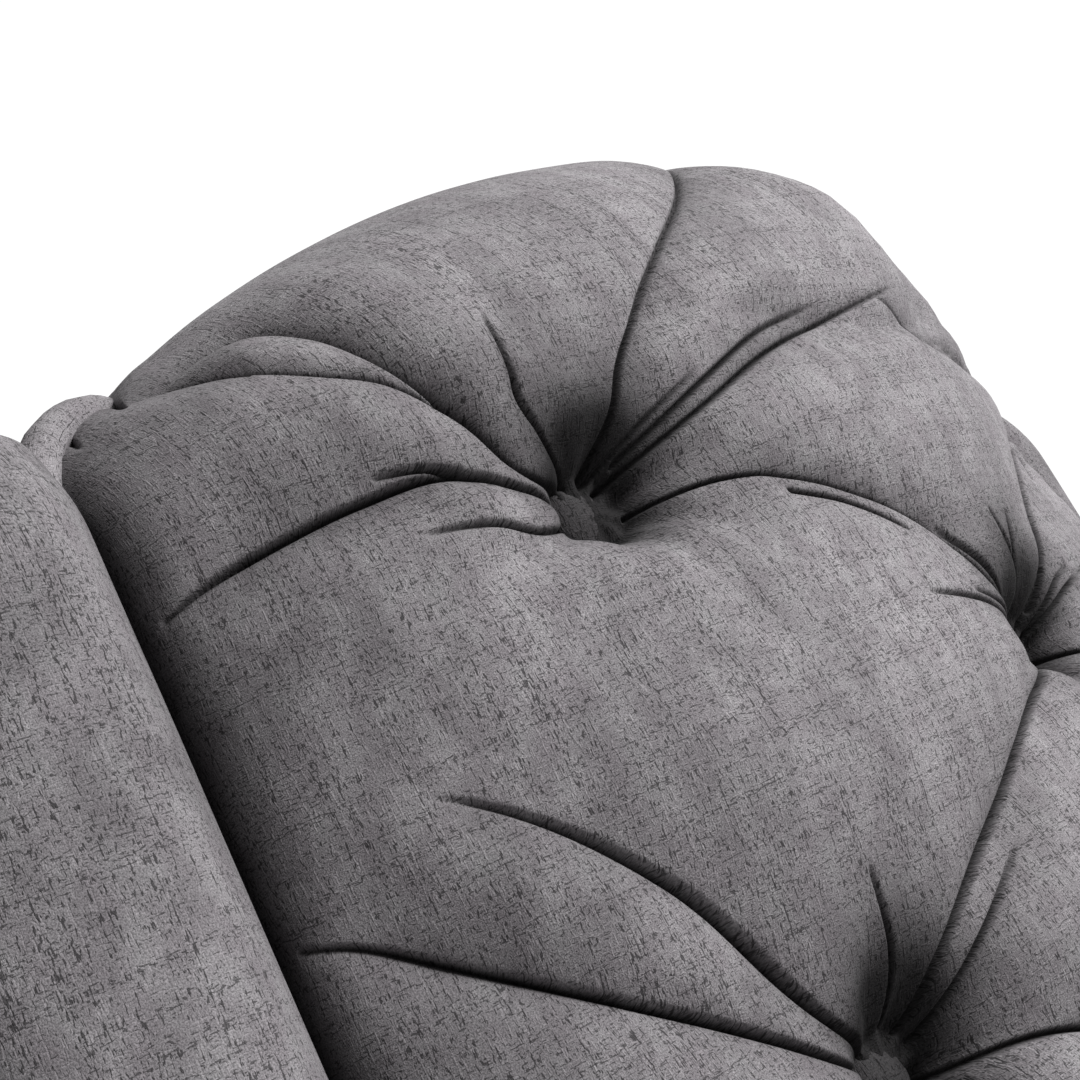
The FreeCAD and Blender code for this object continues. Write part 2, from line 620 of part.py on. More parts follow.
def make_aprons():
    z = (BOX_BOTTOM_Z - 3, BOX_TOP_Z + 4)
    add("front_apron", box((-SIDE_X, SIDE_X), (BOX_FRONT_Y - 12, BOX_FRONT_Y), z))
    add("rear_apron", box((-ARM_OUTER_X + 4, ARM_OUTER_X - 4), (BOX_REAR_Y, BOX_REAR_Y + 10), (z[0], BOX_TOP_Z - 3)))


def build():
    os.makedirs("parts", exist_ok=True)
    for make in (
        make_floor_base, make_swivel, make_stage, make_hangers, make_carriage_steel, make_seat_box,
        make_springs, make_seat, make_pillow, make_back_frame, make_bolsters, make_arms, make_aprons,
    ):
        make()
    bounds = FreeCAD.BoundBox()
    for name, shape in nodes.items():
        if not shape.isValid() or shape.Volume <= 0:
            print("problem with", name, shape.isValid(), shape.Volume)
        shape.exportStep(f"parts/{name}.step")
        bounds.add(shape.BoundBox)
    print(len(nodes), "nodes", "x", round(bounds.XMin, 1), round(bounds.XMax, 1), "y", round(bounds.YMin, 1),
          round(bounds.YMax, 1), "z", round(bounds.ZMin, 1), round(bounds.ZMax, 1))


build()
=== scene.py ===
import json
import math
import bpy
import numpy as np
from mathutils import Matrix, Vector


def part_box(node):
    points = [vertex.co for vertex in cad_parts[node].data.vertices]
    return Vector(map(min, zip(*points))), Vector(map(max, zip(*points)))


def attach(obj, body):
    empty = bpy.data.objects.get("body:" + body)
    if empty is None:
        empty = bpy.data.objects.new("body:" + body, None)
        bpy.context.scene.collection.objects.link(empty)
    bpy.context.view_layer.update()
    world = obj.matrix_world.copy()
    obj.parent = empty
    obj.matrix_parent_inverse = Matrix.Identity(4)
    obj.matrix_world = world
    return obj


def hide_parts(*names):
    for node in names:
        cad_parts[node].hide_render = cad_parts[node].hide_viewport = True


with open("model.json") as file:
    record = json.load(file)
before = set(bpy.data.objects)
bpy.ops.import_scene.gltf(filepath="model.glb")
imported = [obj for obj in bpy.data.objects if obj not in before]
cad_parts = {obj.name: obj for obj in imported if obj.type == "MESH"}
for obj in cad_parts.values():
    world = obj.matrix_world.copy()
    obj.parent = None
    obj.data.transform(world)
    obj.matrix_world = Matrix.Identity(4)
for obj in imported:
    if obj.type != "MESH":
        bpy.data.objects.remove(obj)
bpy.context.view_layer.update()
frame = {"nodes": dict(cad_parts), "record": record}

# ---- sizes, in millimetres unless a name ends in _M ----------------------------------------------
# The back has its own frame: x across, n forwards out of the back, up along it.
def mm_box(node_name):
    lo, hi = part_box(node_name)
    return np.array(lo) * 1000, np.array(hi) * 1000


def across_mm(node_name):
    """A CAD node's low and high x, to a tenth of a millimetre."""
    lo, hi = mm_box(node_name)
    return round(float(lo[0]), 1), round(float(hi[0]), 1)


BACK_LEAN = math.radians(24.0)
BACK_FOOT_M = (0.0, 0.0934, 0.345)      # where the back's frame starts
HALF_W = across_mm("back_pillow")[1]    # half the pillow's width
CROWN = 114.0                   # how far the pillow swells
CROWN_POWER = 1.5
SIDE_DEPTH = 55.0               # how far the pillow's side goes back behind its front plane
ROLL_R = 55.0                   # the pillow rolls over the top rail
ROLL_START = 659.0
ARCH = 40.0                     # the roll starts this much lower at the corners
ROLL_SHRINK = 0.61              # how much of the swelling is lost over a quarter turn
ROLL_END = 2.6                  # radians
CORNER_TURNS_LESS = 0.75
BUTTON_X = 150.0
TOP_ROW = 600.0
ROW_STEP = 92.0
ROWS = 5
BUTTON_R = 12.5
QUARTER_TURN = 1.57


def to_chair(x, n, up):
    """Points in the back's frame, in mm, to the chair's frame, in metres."""
    c, s = math.cos(BACK_LEAN), math.sin(BACK_LEAN)
    out = np.empty(np.shape(x) + (3,))
    out[..., 0] = BACK_FOOT_M[0] + x * 0.001
    out[..., 1] = BACK_FOOT_M[1] + (up * s - n * c) * 0.001
    out[..., 2] = BACK_FOOT_M[2] + (up * c + n * s) * 0.001
    return out


# ---- small tools ---------------------------------------------------------------------------------
def smooth(t):
    t = np.clip(t, 0.0, 1.0)
    return t * t * (3 - 2 * t)


def lattice_noise(x, y, size, seed):
    """Smooth noise from -1 to 1 with features about size wide."""
    grid = np.random.default_rng(seed).uniform(-1, 1, (97, 97))
    gx, gy = x / size, y / size
    ix, iy = np.floor(gx).astype(int), np.floor(gy).astype(int)
    fx, fy = smooth(gx - ix), smooth(gy - iy)
    a, b = grid[ix % 97, iy % 97], grid[(ix + 1) % 97, iy % 97]
    c, d = grid[ix % 97, (iy + 1) % 97], grid[(ix + 1) % 97, (iy + 1) % 97]
    return (a * (1 - fx) + b * fx) * (1 - fy) + (c * (1 - fx) + d * fx) * fy


def catmull_rom(a, b, c, d, f):
    """The place a share f of the way from b to c, on a smooth run through a, b, c and d."""
    slope = (c - a) * f
    bend = (2 * a - 5 * b + 4 * c - d) * f ** 2
    twist = (3 * b - a - 3 * c + d) * f ** 3
    return 0.5 * (2 * b + slope + bend + twist)


def spline(points, count):
    """A smooth run through the points, as so many places."""
    p = np.array(points, float)
    p = np.vstack([2 * p[0] - p[1], p, 2 * p[-1] - p[-2]])
    t = np.linspace(0, len(points) - 1 - 1e-9, count)
    i = t.astype(int)
    f = (t - i)[:, None]
    return catmull_rom(p[i], p[i + 1], p[i + 2], p[i + 3], f)


def cloth_mesh(name, verts, faces, uv, painted_shade=None):
    """A smooth piece of the seat's upholstery from flat lists of vertices and faces (loops, starts, totals).

    The painted shade of each vertex says how deep in a fold it lies, from 0 to 1, and the fabric is painted
    that much darker there, as shade.
    """
    loops, starts, totals = faces
    mesh = bpy.data.meshes.new(name)
    mesh.vertices.add(len(verts))
    mesh.vertices.foreach_set("co", np.asarray(verts, np.float32).ravel())
    mesh.loops.add(len(loops))
    mesh.loops.foreach_set("vertex_index", np.asarray(loops, np.int32))
    mesh.polygons.add(len(starts))
    mesh.polygons.foreach_set("loop_start", np.asarray(starts, np.int32))
    mesh.polygons.foreach_set("loop_total", np.asarray(totals, np.int32))
    mesh.polygons.foreach_set("use_smooth", np.ones(len(starts), bool))
    layer = mesh.uv_layers.new(name="UVMap")
    layer.data.foreach_set("uv", np.asarray(uv, np.float32).ravel())
    if painted_shade is not None:
        attribute = mesh.attributes.new("painted_shade", "FLOAT", "POINT")
        attribute.data.foreach_set("value", np.asarray(painted_shade, np.float32))
    mesh.update()
    mesh.validate()
    mesh.materials.append(FABRIC)
    piece = bpy.data.objects.new(name, mesh)
    bpy.context.scene.collection.objects.link(piece)
    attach(piece, "seat")
    return piece


def cells_of(count_u, count_v, cell, levels, needs):
    """Square cells of a sheet, halved where needs(u, v, size) asks: [(corners, size)], in finest cells."""
    unit = 2 ** levels
    i, j = np.meshgrid(np.arange(count_u), np.arange(count_v), indexing="ij")
    cells = np.stack([i.ravel() * unit, j.ravel() * unit], 1)
    done, size = [], unit
    for level in range(levels):
        centre = (cells + size / 2) * (cell / unit)
        split = needs(centre[:, 0], centre[:, 1], cell / 2 ** level)
        done.append((cells[~split], size))
        parent, size = cells[split], size // 2
        cells = np.concatenate([parent, parent + [size, 0], parent + [0, size], parent + [size, size]])
    done.append((cells, size))
    return done


SHEET_STRIDE = 8192     # more than the finest cells in a row


def sheet_of_cells(done, stride):
    """Welded polygons: each cell's outline takes in its smaller neighbours' corners.

    Returns the vertices' places in the sheet (i, j) and the faces.
    """
    keys = []
    for cells, size in done:
        for di, dj in ((0, 0), (size, 0), (size, size), (0, size)):
            keys.append((cells[:, 0] + di) * stride + cells[:, 1] + dj)
    keys = np.unique(np.concatenate(keys))
    loops, totals = [], []
    for cells, size in done:
        if not len(cells):
            continue
        r = np.arange(size)
        full, none = np.full(size, size), np.zeros(size, int)
        di = np.concatenate([r, full, size - r, none])
        dj = np.concatenate([none, r, full, size - r])
        around = (cells[:, :1] + di) * stride + cells[:, 1:] + dj
        at = np.searchsorted(keys, around).clip(0, len(keys) - 1)
        present = keys[at] == around
        loops.append(at[present])
        totals.append(present.sum(1))
    loops, totals = np.concatenate(loops), np.concatenate(totals)
    starts = np.concatenate([[0], np.cumsum(totals)[:-1]])
    return keys // stride, keys % stride, (loops, starts, totals)


# ---- fabric --------------------------------------------------------------------------------------
def node(tree, kind, **values):
    """A new shader node; values are its settings or its inputs, with _ for a space in an input's name."""
    made = tree.nodes.new(kind)
    for key, value in values.items():
        if hasattr(made, key):
            setattr(made, key, value)
        else:
            made.inputs[key.replace("_", " ")].default_value = value
    return made


FABRIC_COLOUR = (0.262, 0.247, 0.256)
SHEEN = 0.12
# painted shade: the cloth is painted darker in folds and round the buttons, where shade falls
PAINTED_SHADE_STRENGTH = 0.96       # how much of its colour the cloth loses at the bottom of a hollow


def fabric_material(name, colour):
    """A linen-look weave on the UV map, which is in metres: dark slubs along the warp and across it."""
    mat = bpy.data.materials.new(name)
    mat.use_nodes = True
    tree = mat.node_tree
    tree.nodes.clear()
    link = tree.links.new
    out = node(tree, "ShaderNodeOutputMaterial")
    shader = node(tree, "ShaderNodeBsdfPrincipled", Roughness=0.88, Sheen_Roughness=0.45,
                  Sheen_Tint=(0.95, 0.93, 0.95, 1), Specular_IOR_Level=0.2)
    link(shader.outputs[0], out.inputs[0])
    uv = node(tree, "ShaderNodeUVMap", uv_map="UVMap")

    def noise(across, along, detail=2.0, rough=0.5, offset=0.0, distortion=0.0):
        """Noise from 0 to 1; across and along are features to the metre."""
        place = (offset, offset * 0.7, offset)
        mapping = node(tree, "ShaderNodeMapping", Scale=(across, along, 1), Location=place)
        link(uv.outputs[0], mapping.inputs[0])
        tex = node(tree, "ShaderNodeTexNoise", noise_dimensions="2D", Scale=1.0, Detail=detail,
                   Roughness=rough, Distortion=distortion)
        link(mapping.outputs[0], tex.inputs["Vector"])
        return tex.outputs["Fac"]

    def ramp(value, low, high, to_low=0.0, to_high=1.0):
        r = node(tree, "ShaderNodeMapRange", interpolation_type="SMOOTHSTEP",
                 From_Min=low, From_Max=high, To_Min=to_low, To_Max=to_high)
        link(value, r.inputs["Value"])
        return r.outputs[0]

    def calc(op, *terms):
        m = node(tree, "ShaderNodeMath", operation=op)
        for k, v in enumerate(terms):
            if isinstance(v, (int, float)):
                m.inputs[k].default_value = v
            else:
                link(v, m.inputs[k])
        return m.outputs[0]

    # slubs: thin long noise that gathers along some threads, and is broken up by the grain
    grain = noise(2300, 2100, 1.0, 0.6, 5.5)
    crumbs = noise(1500, 1100, 1.0, 0.5, 21.3)
    columns = noise(430, 14, 1.0, 0.5, 1.3)
    rows = noise(13, 380, 1.0, 0.5, 4.9)
    regions = noise(60, 50, 2.0, 0.5, 8.8)

    def slubs(threads, gathered, low, high):
        value = calc("ADD", threads, calc("MULTIPLY_ADD", gathered, 0.40, -0.20))
        value = calc("ADD", value, calc("MULTIPLY_ADD", crumbs, 0.30, -0.15))
        value = calc("ADD", value, calc("MULTIPLY_ADD", regions, 0.09, -0.045))
        return ramp(value, low, high)

    warp = slubs(noise(1700, 370, 1.0, 0.5, 3.1), columns, 0.637, 0.73)
    weft = slubs(noise(480, 1800, 1.0, 0.5, 7.7), rows, 0.64, 0.73)
    dark = calc("MAXIMUM", warp, calc("MULTIPLY", weft, 0.85))
    pale_along = ramp(noise(1100, 190, 1.5, 0.5, 11.9), 0.56, 0.72)
    pale_across = ramp(noise(260, 1300, 1.5, 0.5, 17.3), 0.58, 0.74)
    pale = calc("MAXIMUM", pale_along, pale_across)
    cloud = noise(24, 17, 4.0, 0.62, 2.2, 0.4)
    patch = noise(95, 70, 3.0, 0.6, 9.1)

    shade = calc("MULTIPLY", ramp(cloud, 0.3, 0.7, 0.84, 1.14), ramp(patch, 0.3, 0.7, 0.88, 1.10))
    shade = calc("MULTIPLY", shade, ramp(grain, 0.28, 0.72, 0.70, 1.26))
    shade = calc("MULTIPLY", shade, calc("MULTIPLY_ADD", pale, 0.20, 0.96))
    shade = calc("MULTIPLY", shade, calc("MULTIPLY_ADD", dark, -0.72, 1.0))
    # painted shade: the cloth is painted darker, and loses its sheen, where the mesh's shade attribute says
    # it lies in a fold or a button's well
    painted_shade = node(tree, "ShaderNodeAttribute", attribute_name="painted_shade")
    shade = calc("MULTIPLY", shade, calc("MULTIPLY_ADD", painted_shade.outputs["Fac"], -PAINTED_SHADE_STRENGTH, 1.0))
    link(calc("MULTIPLY_ADD", painted_shade.outputs["Fac"], -SHEEN, SHEEN), shader.inputs["Sheen Weight"])

    warmer = (colour[0] * 1.03, colour[1] * 0.98, colour[2] * 1.02, 1)
    cooler = (colour[0] * 0.97, colour[1] * 1.01, colour[2] * 0.99, 1)
    tint = node(tree, "ShaderNodeMix", data_type="RGBA", A=warmer, B=cooler)
    link(patch, tint.inputs["Factor"])
    scale = node(tree, "ShaderNodeVectorMath", operation="SCALE")
    link(tint.outputs["Result"], scale.inputs[0])
    link(shade, scale.inputs["Scale"])
    link(scale.outputs[0], shader.inputs["Base Color"])

    height = calc("SUBTRACT", calc("MULTIPLY", pale, 0.5), dark)
    height = calc("ADD", height, calc("MULTIPLY", grain, 0.6))
    bump = node(tree, "ShaderNodeBump", Strength=0.6, Distance=0.0004)
    link(height, bump.inputs["Height"])
    link(bump.outputs[0], shader.inputs["Normal"])
    return mat


FABRIC = fabric_material("grey_linen_look", FABRIC_COLOUR)

# ---- the buttoned back pillow --------------------------------------------------------------------
# A crease is (points, deep, wide, tuck, side, mid, end). Its points go across and up from its button on the
# pillow's face, and past the face's edge they go back down its side. Its valley is so deep and so wide, and
# one side tucks so far under the other. The side that laps is 1 for the left of the way the crease runs,
# -1 for the right and 0 for a soft fold. mid and end: how much depth is left at its middle and its end.
TOP_BUTTON = [
    ([(2, 10), (14, 34), (34, 54), (57, 63), (105, 78), (140, 92), (149, 112), (150, 180)],
     5, 12, 1.5, 1, 0.8, 1.0),
    ([(6, 6), (40, 18), (82, 33), (133, 44), (180, 54)], 8, 10, 2.5, -1, 0.8, 0.0),
    ([(12, 12), (45, 27), (82, 41), (118, 47)], 6, 7, 2.0, 1, 0.9, 0.0),
    ([(4, 10), (20, 20), (42, 30)], 6, 6, 1.5, 1, 0.7, 0.0),
    ([(10, 2), (30, 4), (50, 5)], 6, 8, 0, 0, 0.6, 0.0),
    ([(10, -5), (28, -7), (46, -11), (68, -20), (97, -37), (114, -55), (136, -80)],
     7, 15, 3.0, -1, 0.8, 1.1),
    ([(50, -19), (72, -29), (94, -45)], 3, 5, 1.0, -1, 1.0, 0.3),
    ([(-11, 0), (-30, 8), (-54, 18), (-79, 19), (-105, 16), (-118, 13), (-128, 8)],
     8, 15, 4.0, -1, 0.8, 0.6),
    ([(-50, 18), (-62, 22), (-76, 24)], 4, 5, 1.0, -1, 0.7, 0.0),
    ([(-9, 7), (-31, 16), (-43, 36), (-56, 45), (-72, 51), (-87, 63), (-94, 70)], 7, 10, 2.5, 1, 0.8, 0.6),
    ([(-8, 9), (-27, 12), (-37, 28), (-50, 47), (-59, 62), (-66, 72), (-80, 76), (-94, 74)],
     9, 12, 3.5, 1, 0.9, 0.5),
    ([(-5, 10), (-20, 30), (-22, 44), (-19, 56)], 8, 8, 1.0, -1, 0.9, 0.0),
    ([(-11, -3), (-32, -6), (-51, -1), (-74, 3)], 6, 7, 0.5, -1, 0.8, 0.0),
    ([(-10, -8), (-35, -11), (-61, -16), (-86, -23)], 6, 9, 0, 0, 0.9, 0.0),
    ([(8, -10), (22, -22), (34, -36)], 3, 7, 0, 0, 0.8, 0.0),
    ([(-2, -12), (0, -26), (4, -40)], 3, 7, 0, 0, 0.8, 0.0),
]
SIDE_BUTTON = [
    ([(8, 10), (24, 28), (69, 54), (103, 72), (118, 78), (138, 86)], 9, 17, 2.5, -1, 0.8, 1.0),
    ([(12, 6), (28, 20), (60, 40)], 6, 8, 1.5, 1, 0.8, 0.0),
    ([(-8, 10), (-26, 26), (-45, 64), (-62, 87), (-80, 106), (-99, 121)], 10, 17, 4.0, -1, 0.75, 0.0),
    ([(-11, 6), (-27, 13), (-50, 32), (-99, 72), (-120, 92), (-129, 99)], 8, 13, 3.0, -1, 0.8, 0.6),
    ([(10, -2), (34, -4), (60, -5)], 6, 9, 0, 0, 0.7, 0.0),
    ([(10, -5), (28, -8), (46, -14), (70, -26), (97, -42), (116, -56), (138, -80)],
     8, 15, 3.0, -1, 0.8, 1.1),
    ([(-4, -12), (-14, -34), (-20, -56)], 6, 9, 0, 0, 0.6, 0.0),
    ([(8, -12), (18, -30), (22, -50)], 5, 8, 0, 0, 0.6, 0.0),
    ([(-12, -2), (-40, -6), (-70, -8)], 5, 8, 0, 0, 0.6, 0.0),
    ([(2, 14), (4, 34), (2, 56)], 6, 8, 1.0, 1, 0.6, 0.0),
]
LAST_BUTTON = [
    ([(0, -12), (-8, -60), (-12, -120), (-12, -225)], 8, 16, 2.5, 1, 0.8, 0.8),
    ([(-12, -8), (-60, -34), (-100, -60), (-128, -84)], 7, 14, 2.5, -1, 0.8, 0.6),
]
MIDDLE_BUTTON = [
    ([(12, 4), (42, 16), (80, 26)], 7, 9, 1.5, 1, 0.8, 0.0),
    ([(9, 9), (28, 36), (52, 56)], 8, 9, 1.5, 1, 0.7, 0.0),
    ([(0, 12), (-4, 36), (-12, 66)], 6, 9, 1.0, -1, 0.7, 0.0),
    ([(12, -4), (34, -8), (60, -8)], 6, 9, 0, 0, 0.6, 0.0),
    ([(0, -12), (-6, -30), (-12, -46)], 5, 8, 0, 0, 0.6, 0.0),
    ([(-12, 4), (-34, 20), (-60, 30)], 6, 8, 1.0, -1, 0.7, 0.0),
]
# folds that belong to no button, placed from the pillow's foot: a slack line and gathers at the corner
LOOSE = [
    ([(-44, 628), (40, 641), (130, 652)], 2.5, 6, 0, 0, 1.0, 0.3),
    ([(-236, 702), (-246, 686), (-256, 668)], 4, 5, 0.8, 1, 1.0, 0.0),
    ([(-258, 700), (-264, 684), (-270, 664)], 3, 5, 0.8, 1, 1.0, 0.0),
]
# puffs between the creases: where, how wide, how tall, and how high they stand; a negative one is a hollow
PUFFS = [
    (-120, 700, 60, 64, 1.5),
    (130, 700, 60, 64, 6),
    (25, 673, 34, 28.8, 8),
    (-240, 694, 40, 54.4, -4),
    (240, 694, 40, 54.4, -4),
    (-150, 508, 62, 36, 6),
    (150, 508, 62, 36, 6),
    (0, 598, 60, 34, 4),
]
SLIT = 3.4                  # a pleat's dark line: how deep and how wide
SLIT_WIDE = 0.85
LIP = 1.5                   # radius of a lapping edge
SHOULDER = 0.16             # how high the cloth stands beside a valley, as a share of the valley's depth
SEAT_OF_BUTTON = 31.0       # how deep the buttons pull the cover in
FUNNEL = 18.0               # how wide the hollow round a button is
FUNNEL_LOPSIDED = 8.0       # how much wider it is above the button, and how much narrower below
# painted shade in a button's well, measured from the button's edge outwards:
PAINTED_SHADE_STARTS = 14.0         # above a button its dark part goes on this far before it fades
PAINTED_SHADE_FADES = 7.0           # over this distance below and beside the button
PAINTED_SHADE_FADES_ABOVE = 17.0    # and over this much more above it
KEPT_END = 0.3              # a crease that keeps more than this share of its depth to its end meets another


def button_places():
    places = []
    for row in range(ROWS):
        up = TOP_ROW - row * ROW_STEP
        for x in ((0.0,) if row % 2 else (-BUTTON_X, BUTTON_X)):
            places.append((x, up, row))
    return places


def section_tables():
    """Across the pillow and down its sides: length along the cover, place across, x and crown."""
    t = np.linspace(-math.pi / 2, math.pi / 2, 4001)
    x = HALF_W * np.sin(t)
    c = CROWN * (1 - np.clip(np.abs(x) / HALF_W, 0, 1) ** CROWN_POWER) ** (1 / CROWN_POWER)
    down = np.linspace(SIDE_DEPTH, 0, 60)[:-1]
    across = np.concatenate([-HALF_W - down, x, HALF_W + down[::-1]])
    x = np.clip(across, -HALF_W, HALF_W)
    c = np.concatenate([-down, c, -down[::-1]])
    s = np.concatenate([[0], np.cumsum(np.hypot(np.diff(x), np.diff(c)))])
    return s, across, x, c


SECTION_S, SECTION_ACROSS, SECTION_X, SECTION_C = section_tables()
PILLOW_SPAN = SECTION_S[-1]
PILLOW_RUN = ROLL_START + ROLL_R * ROLL_END


def roll_range(x):
    """Where the cover starts to turn over the top rail, and where it ends; it turns less at the corners."""
    q = np.clip(np.abs(x) / HALF_W, 0, 1)
    start = ROLL_START - ARCH * q ** 2
    return start, start + ROLL_R * (ROLL_END - CORNER_TURNS_LESS * smooth((q - 0.7) / 0.3))


def closed_up(s, v):
    """The rows of the cover's mesh: even up to the turn, then closed up so that all reach its end."""
    start, end = roll_range(np.interp(s, SECTION_S, SECTION_X))
    return np.where(v < start, v, start + (v - start) * (end - start) / (PILLOW_RUN - start))


def roll_turn(x, v):
    """How far the cover has turned over the top rail, in radians."""
    start, end = roll_range(x)
    return np.clip((v - start) / ROLL_R, 0, (end - start) / ROLL_R)


def laid_flat(across, v):
    """A place on the cover when the cover is laid flat, so that distances there are the cloth's own."""
    across, v = np.asarray(across, float), np.asarray(v, float)
    c = np.maximum(np.interp(across, SECTION_ACROSS, SECTION_C), 0)
    return np.interp(across, SECTION_ACROSS, SECTION_S), v + 0.6 * c * roll_turn(across, v)


def all_creases():
    """Every crease laid flat: (line, deep, wide, tuck, side, mid, end)."""
    rng = np.random.default_rng(4)
    out = []

    def add(points, deep, wide, tuck, side, mid, end):
        line = np.stack(laid_flat(*np.array(points, float).T), 1)
        out.append((spline(line, 8 * len(points)), deep, wide, tuck, side, mid, end))

    for x, up, row in button_places():
        kind = MIDDLE_BUTTON if row % 2 else TOP_BUTTON if row == 0 else SIDE_BUTTON
        if row == ROWS - 1:
            kind = SIDE_BUTTON[:5] + SIDE_BUTTON[6:] + LAST_BUTTON
        seen = x < 0 and row < 4
        for mirror in ((1, -1) if x == 0 else (-1,) if x > 0 else (1,)):
            for points, deep, wide, tuck, side, mid, end in kind:
                fixed = seen or end > KEPT_END
                reach = 1.0 if fixed else rng.uniform(0.72, 0.95)
                wobble = 0.0 if fixed else 3.0
                run = []
                for k, (px, py) in enumerate(points):
                    across = x + mirror * px * reach + rng.uniform(-wobble, wobble) * (k > 0)
                    run.append((across, up + py * reach + rng.uniform(-wobble, wobble) * (k > 0)))
                add(run, deep, wide, tuck, side * mirror, mid, end)
    for points, *rest in LOOSE:
        add(points, *rest)
        add([(-x, v) for x, v in points], rest[0], rest[1], rest[2], -rest[3], *rest[4:])
    return out


CREASES = all_creases()


def near_line(px, py, line):
    """Distance to the line, signed by side, and how far along it (0 to 1)."""
    best = np.full(px.shape, 1e9)
    sign = np.ones(px.shape)
    along = np.zeros(px.shape)
    step = 1.0 / (len(line) - 1)
    for k in range(len(line) - 1):
        (ax, ay), (bx, by) = line[k], line[k + 1]
        dx, dy = bx - ax, by - ay
        t = np.clip(((px - ax) * dx + (py - ay) * dy) / (dx * dx + dy * dy), 0, 1)
        ex, ey = px - ax - t * dx, py - ay - t * dy
        d = ex * ex + ey * ey
        closer = d < best
        best = np.where(closer, d, best)
        sign = np.where(closer, np.sign(dx * ey - dy * ex), sign)
        along = np.where(closer, (k + t) * step, along)
    return np.sqrt(best), sign, along


def near_box(s, w, line, reach):
    """Which places may lie within reach of the line."""
    lo, hi = line.min(0) - reach, line.max(0) + reach
    return np.nonzero((s > lo[0]) & (s < hi[0]) & (w > lo[1]) & (w < hi[1]))[0]


def button_well(s, w, bx, up, row):
    """Round one button: how deep the well is, and how much painted shade its fabric gets."""
    bs, bw = laid_flat(bx, up)
    r, lean = np.hypot(s - bs, w - bw), np.arctan2(w - bw, s - bs)
    wide = FUNNEL + FUNNEL_LOPSIDED * np.sin(lean)
    gather = 1 + 0.05 * np.sin(9 * lean + bx * 0.03 + row) * np.exp(-((r - 22) / 14) ** 2)
    well = SEAT_OF_BUTTON * gather * np.exp(-np.maximum(0, r - BUTTON_R) / wide)
    # painted shade in the well: dark round the button, and reaching further above it, where the cloth faces
    # down
    above = np.maximum(np.sin(lean), 0)
    fades = PAINTED_SHADE_FADES + PAINTED_SHADE_FADES_ABOVE * above
    away = np.maximum(0, r - BUTTON_R - PAINTED_SHADE_STARTS * above ** 1.5) / fades
    return well, 0.97 * np.exp(-away ** 1.3)


def pillow_depth(s, w):
    """At places laid flat: how far the cover is pulled in below the smooth pillow, and how much painted shade
    its fabric gets.
    """
    cubes = np.zeros(s.shape)       # wells and valleys join as a sum of cubes, so that the deepest one wins
    soft = np.zeros(s.shape)
    painted_shade = np.zeros(s.shape)
    for bx, up, row in button_places():
        well, shade = button_well(s, w, bx, up, row)
        cubes += well ** 3
        painted_shade = np.maximum(painted_shade, shade)
    for line, deep, wide, tuck, side, mid, end in CREASES:
        near = near_box(s, w, line, 4.5 * wide)
        if not len(near):
            continue
        dist, sign, along = near_line(s[near], w[near], line)
        keep = np.where(along < 0.5, 1 + (mid - 1) * along * 2, mid + (end - mid) * (along * 2 - 1))
        valley = deep * keep * np.exp(-(dist / wide) ** (1.4 if side == 0 else 1.0))
        shoulder = SHOULDER * deep * keep * np.exp(-((dist - 2.1 * wide) / wide) ** 2)
        if side == 0:
            soft[near] += valley - shoulder
            continue
        crisp = np.sqrt(np.clip(keep, 0, 1)) * smooth((1 - along) * 8 + (end > KEPT_END))
        under = sign * side < 0
        lip = LIP * (1 - np.sqrt(np.clip(1 - (1 - np.minimum(dist, LIP) / LIP) ** 2, 0, 1)))
        cubes[near] += (valley + np.where(under, tuck * keep * np.exp(-dist / (0.4 * wide)), 0)) ** 3
        # painted shade along a crisp crease: dark in its slit, and beside it, more on the side that tucks
        # under
        painted_shade_in_slit = 0.92 * np.exp(-(dist / 1.0) ** 2)
        painted_shade_beside = np.where(under, 0.46, 0.16) * np.exp(-dist / (0.5 * wide))
        dark = crisp * (painted_shade_in_slit + painted_shade_beside)
        painted_shade[near] = 1 - (1 - painted_shade[near]) * (1 - np.minimum(dark, 0.95))
        slit = SLIT * np.exp(-(dist / SLIT_WIDE) ** 2)
        soft[near] += crisp * (slit + np.where(under, 0, lip)) - shoulder
    for x, v, wide, tall, height in PUFFS:
        ps, pw = laid_flat(x, v)
        soft -= height * np.exp(-((s - ps) / wide) ** 2 - ((w - pw) / tall) ** 2)
    return np.cbrt(cubes) + soft, painted_shade


def pillow_smooth(s, v):
    """The pillow without its buttoning: (x, n, up)."""
    x = np.interp(s, SECTION_S, SECTION_X)
    c = np.interp(s, SECTION_S, SECTION_C)
    turn = roll_turn(x, v)
    start = ROLL_START - ARCH * (x / HALF_W) ** 2
    up = np.minimum(v, start) + ROLL_R * np.sin(turn)
    n = -ROLL_R * (1 - np.cos(turn))
    foot = 0.46 + 0.54 * smooth(v / 150.0)
    crown_left = 1 - ROLL_SHRINK * np.clip(turn / QUARTER_TURN, 0, 1.5) ** 1.5
    side_left = 1 - 0.35 * np.clip(turn, 0, 1.2)
    c = c * np.where(c > 0, crown_left, side_left) * np.where(c > 0, foot, 1)
    return np.stack([x, n + c * np.cos(turn), up + c * np.sin(turn)], -1)


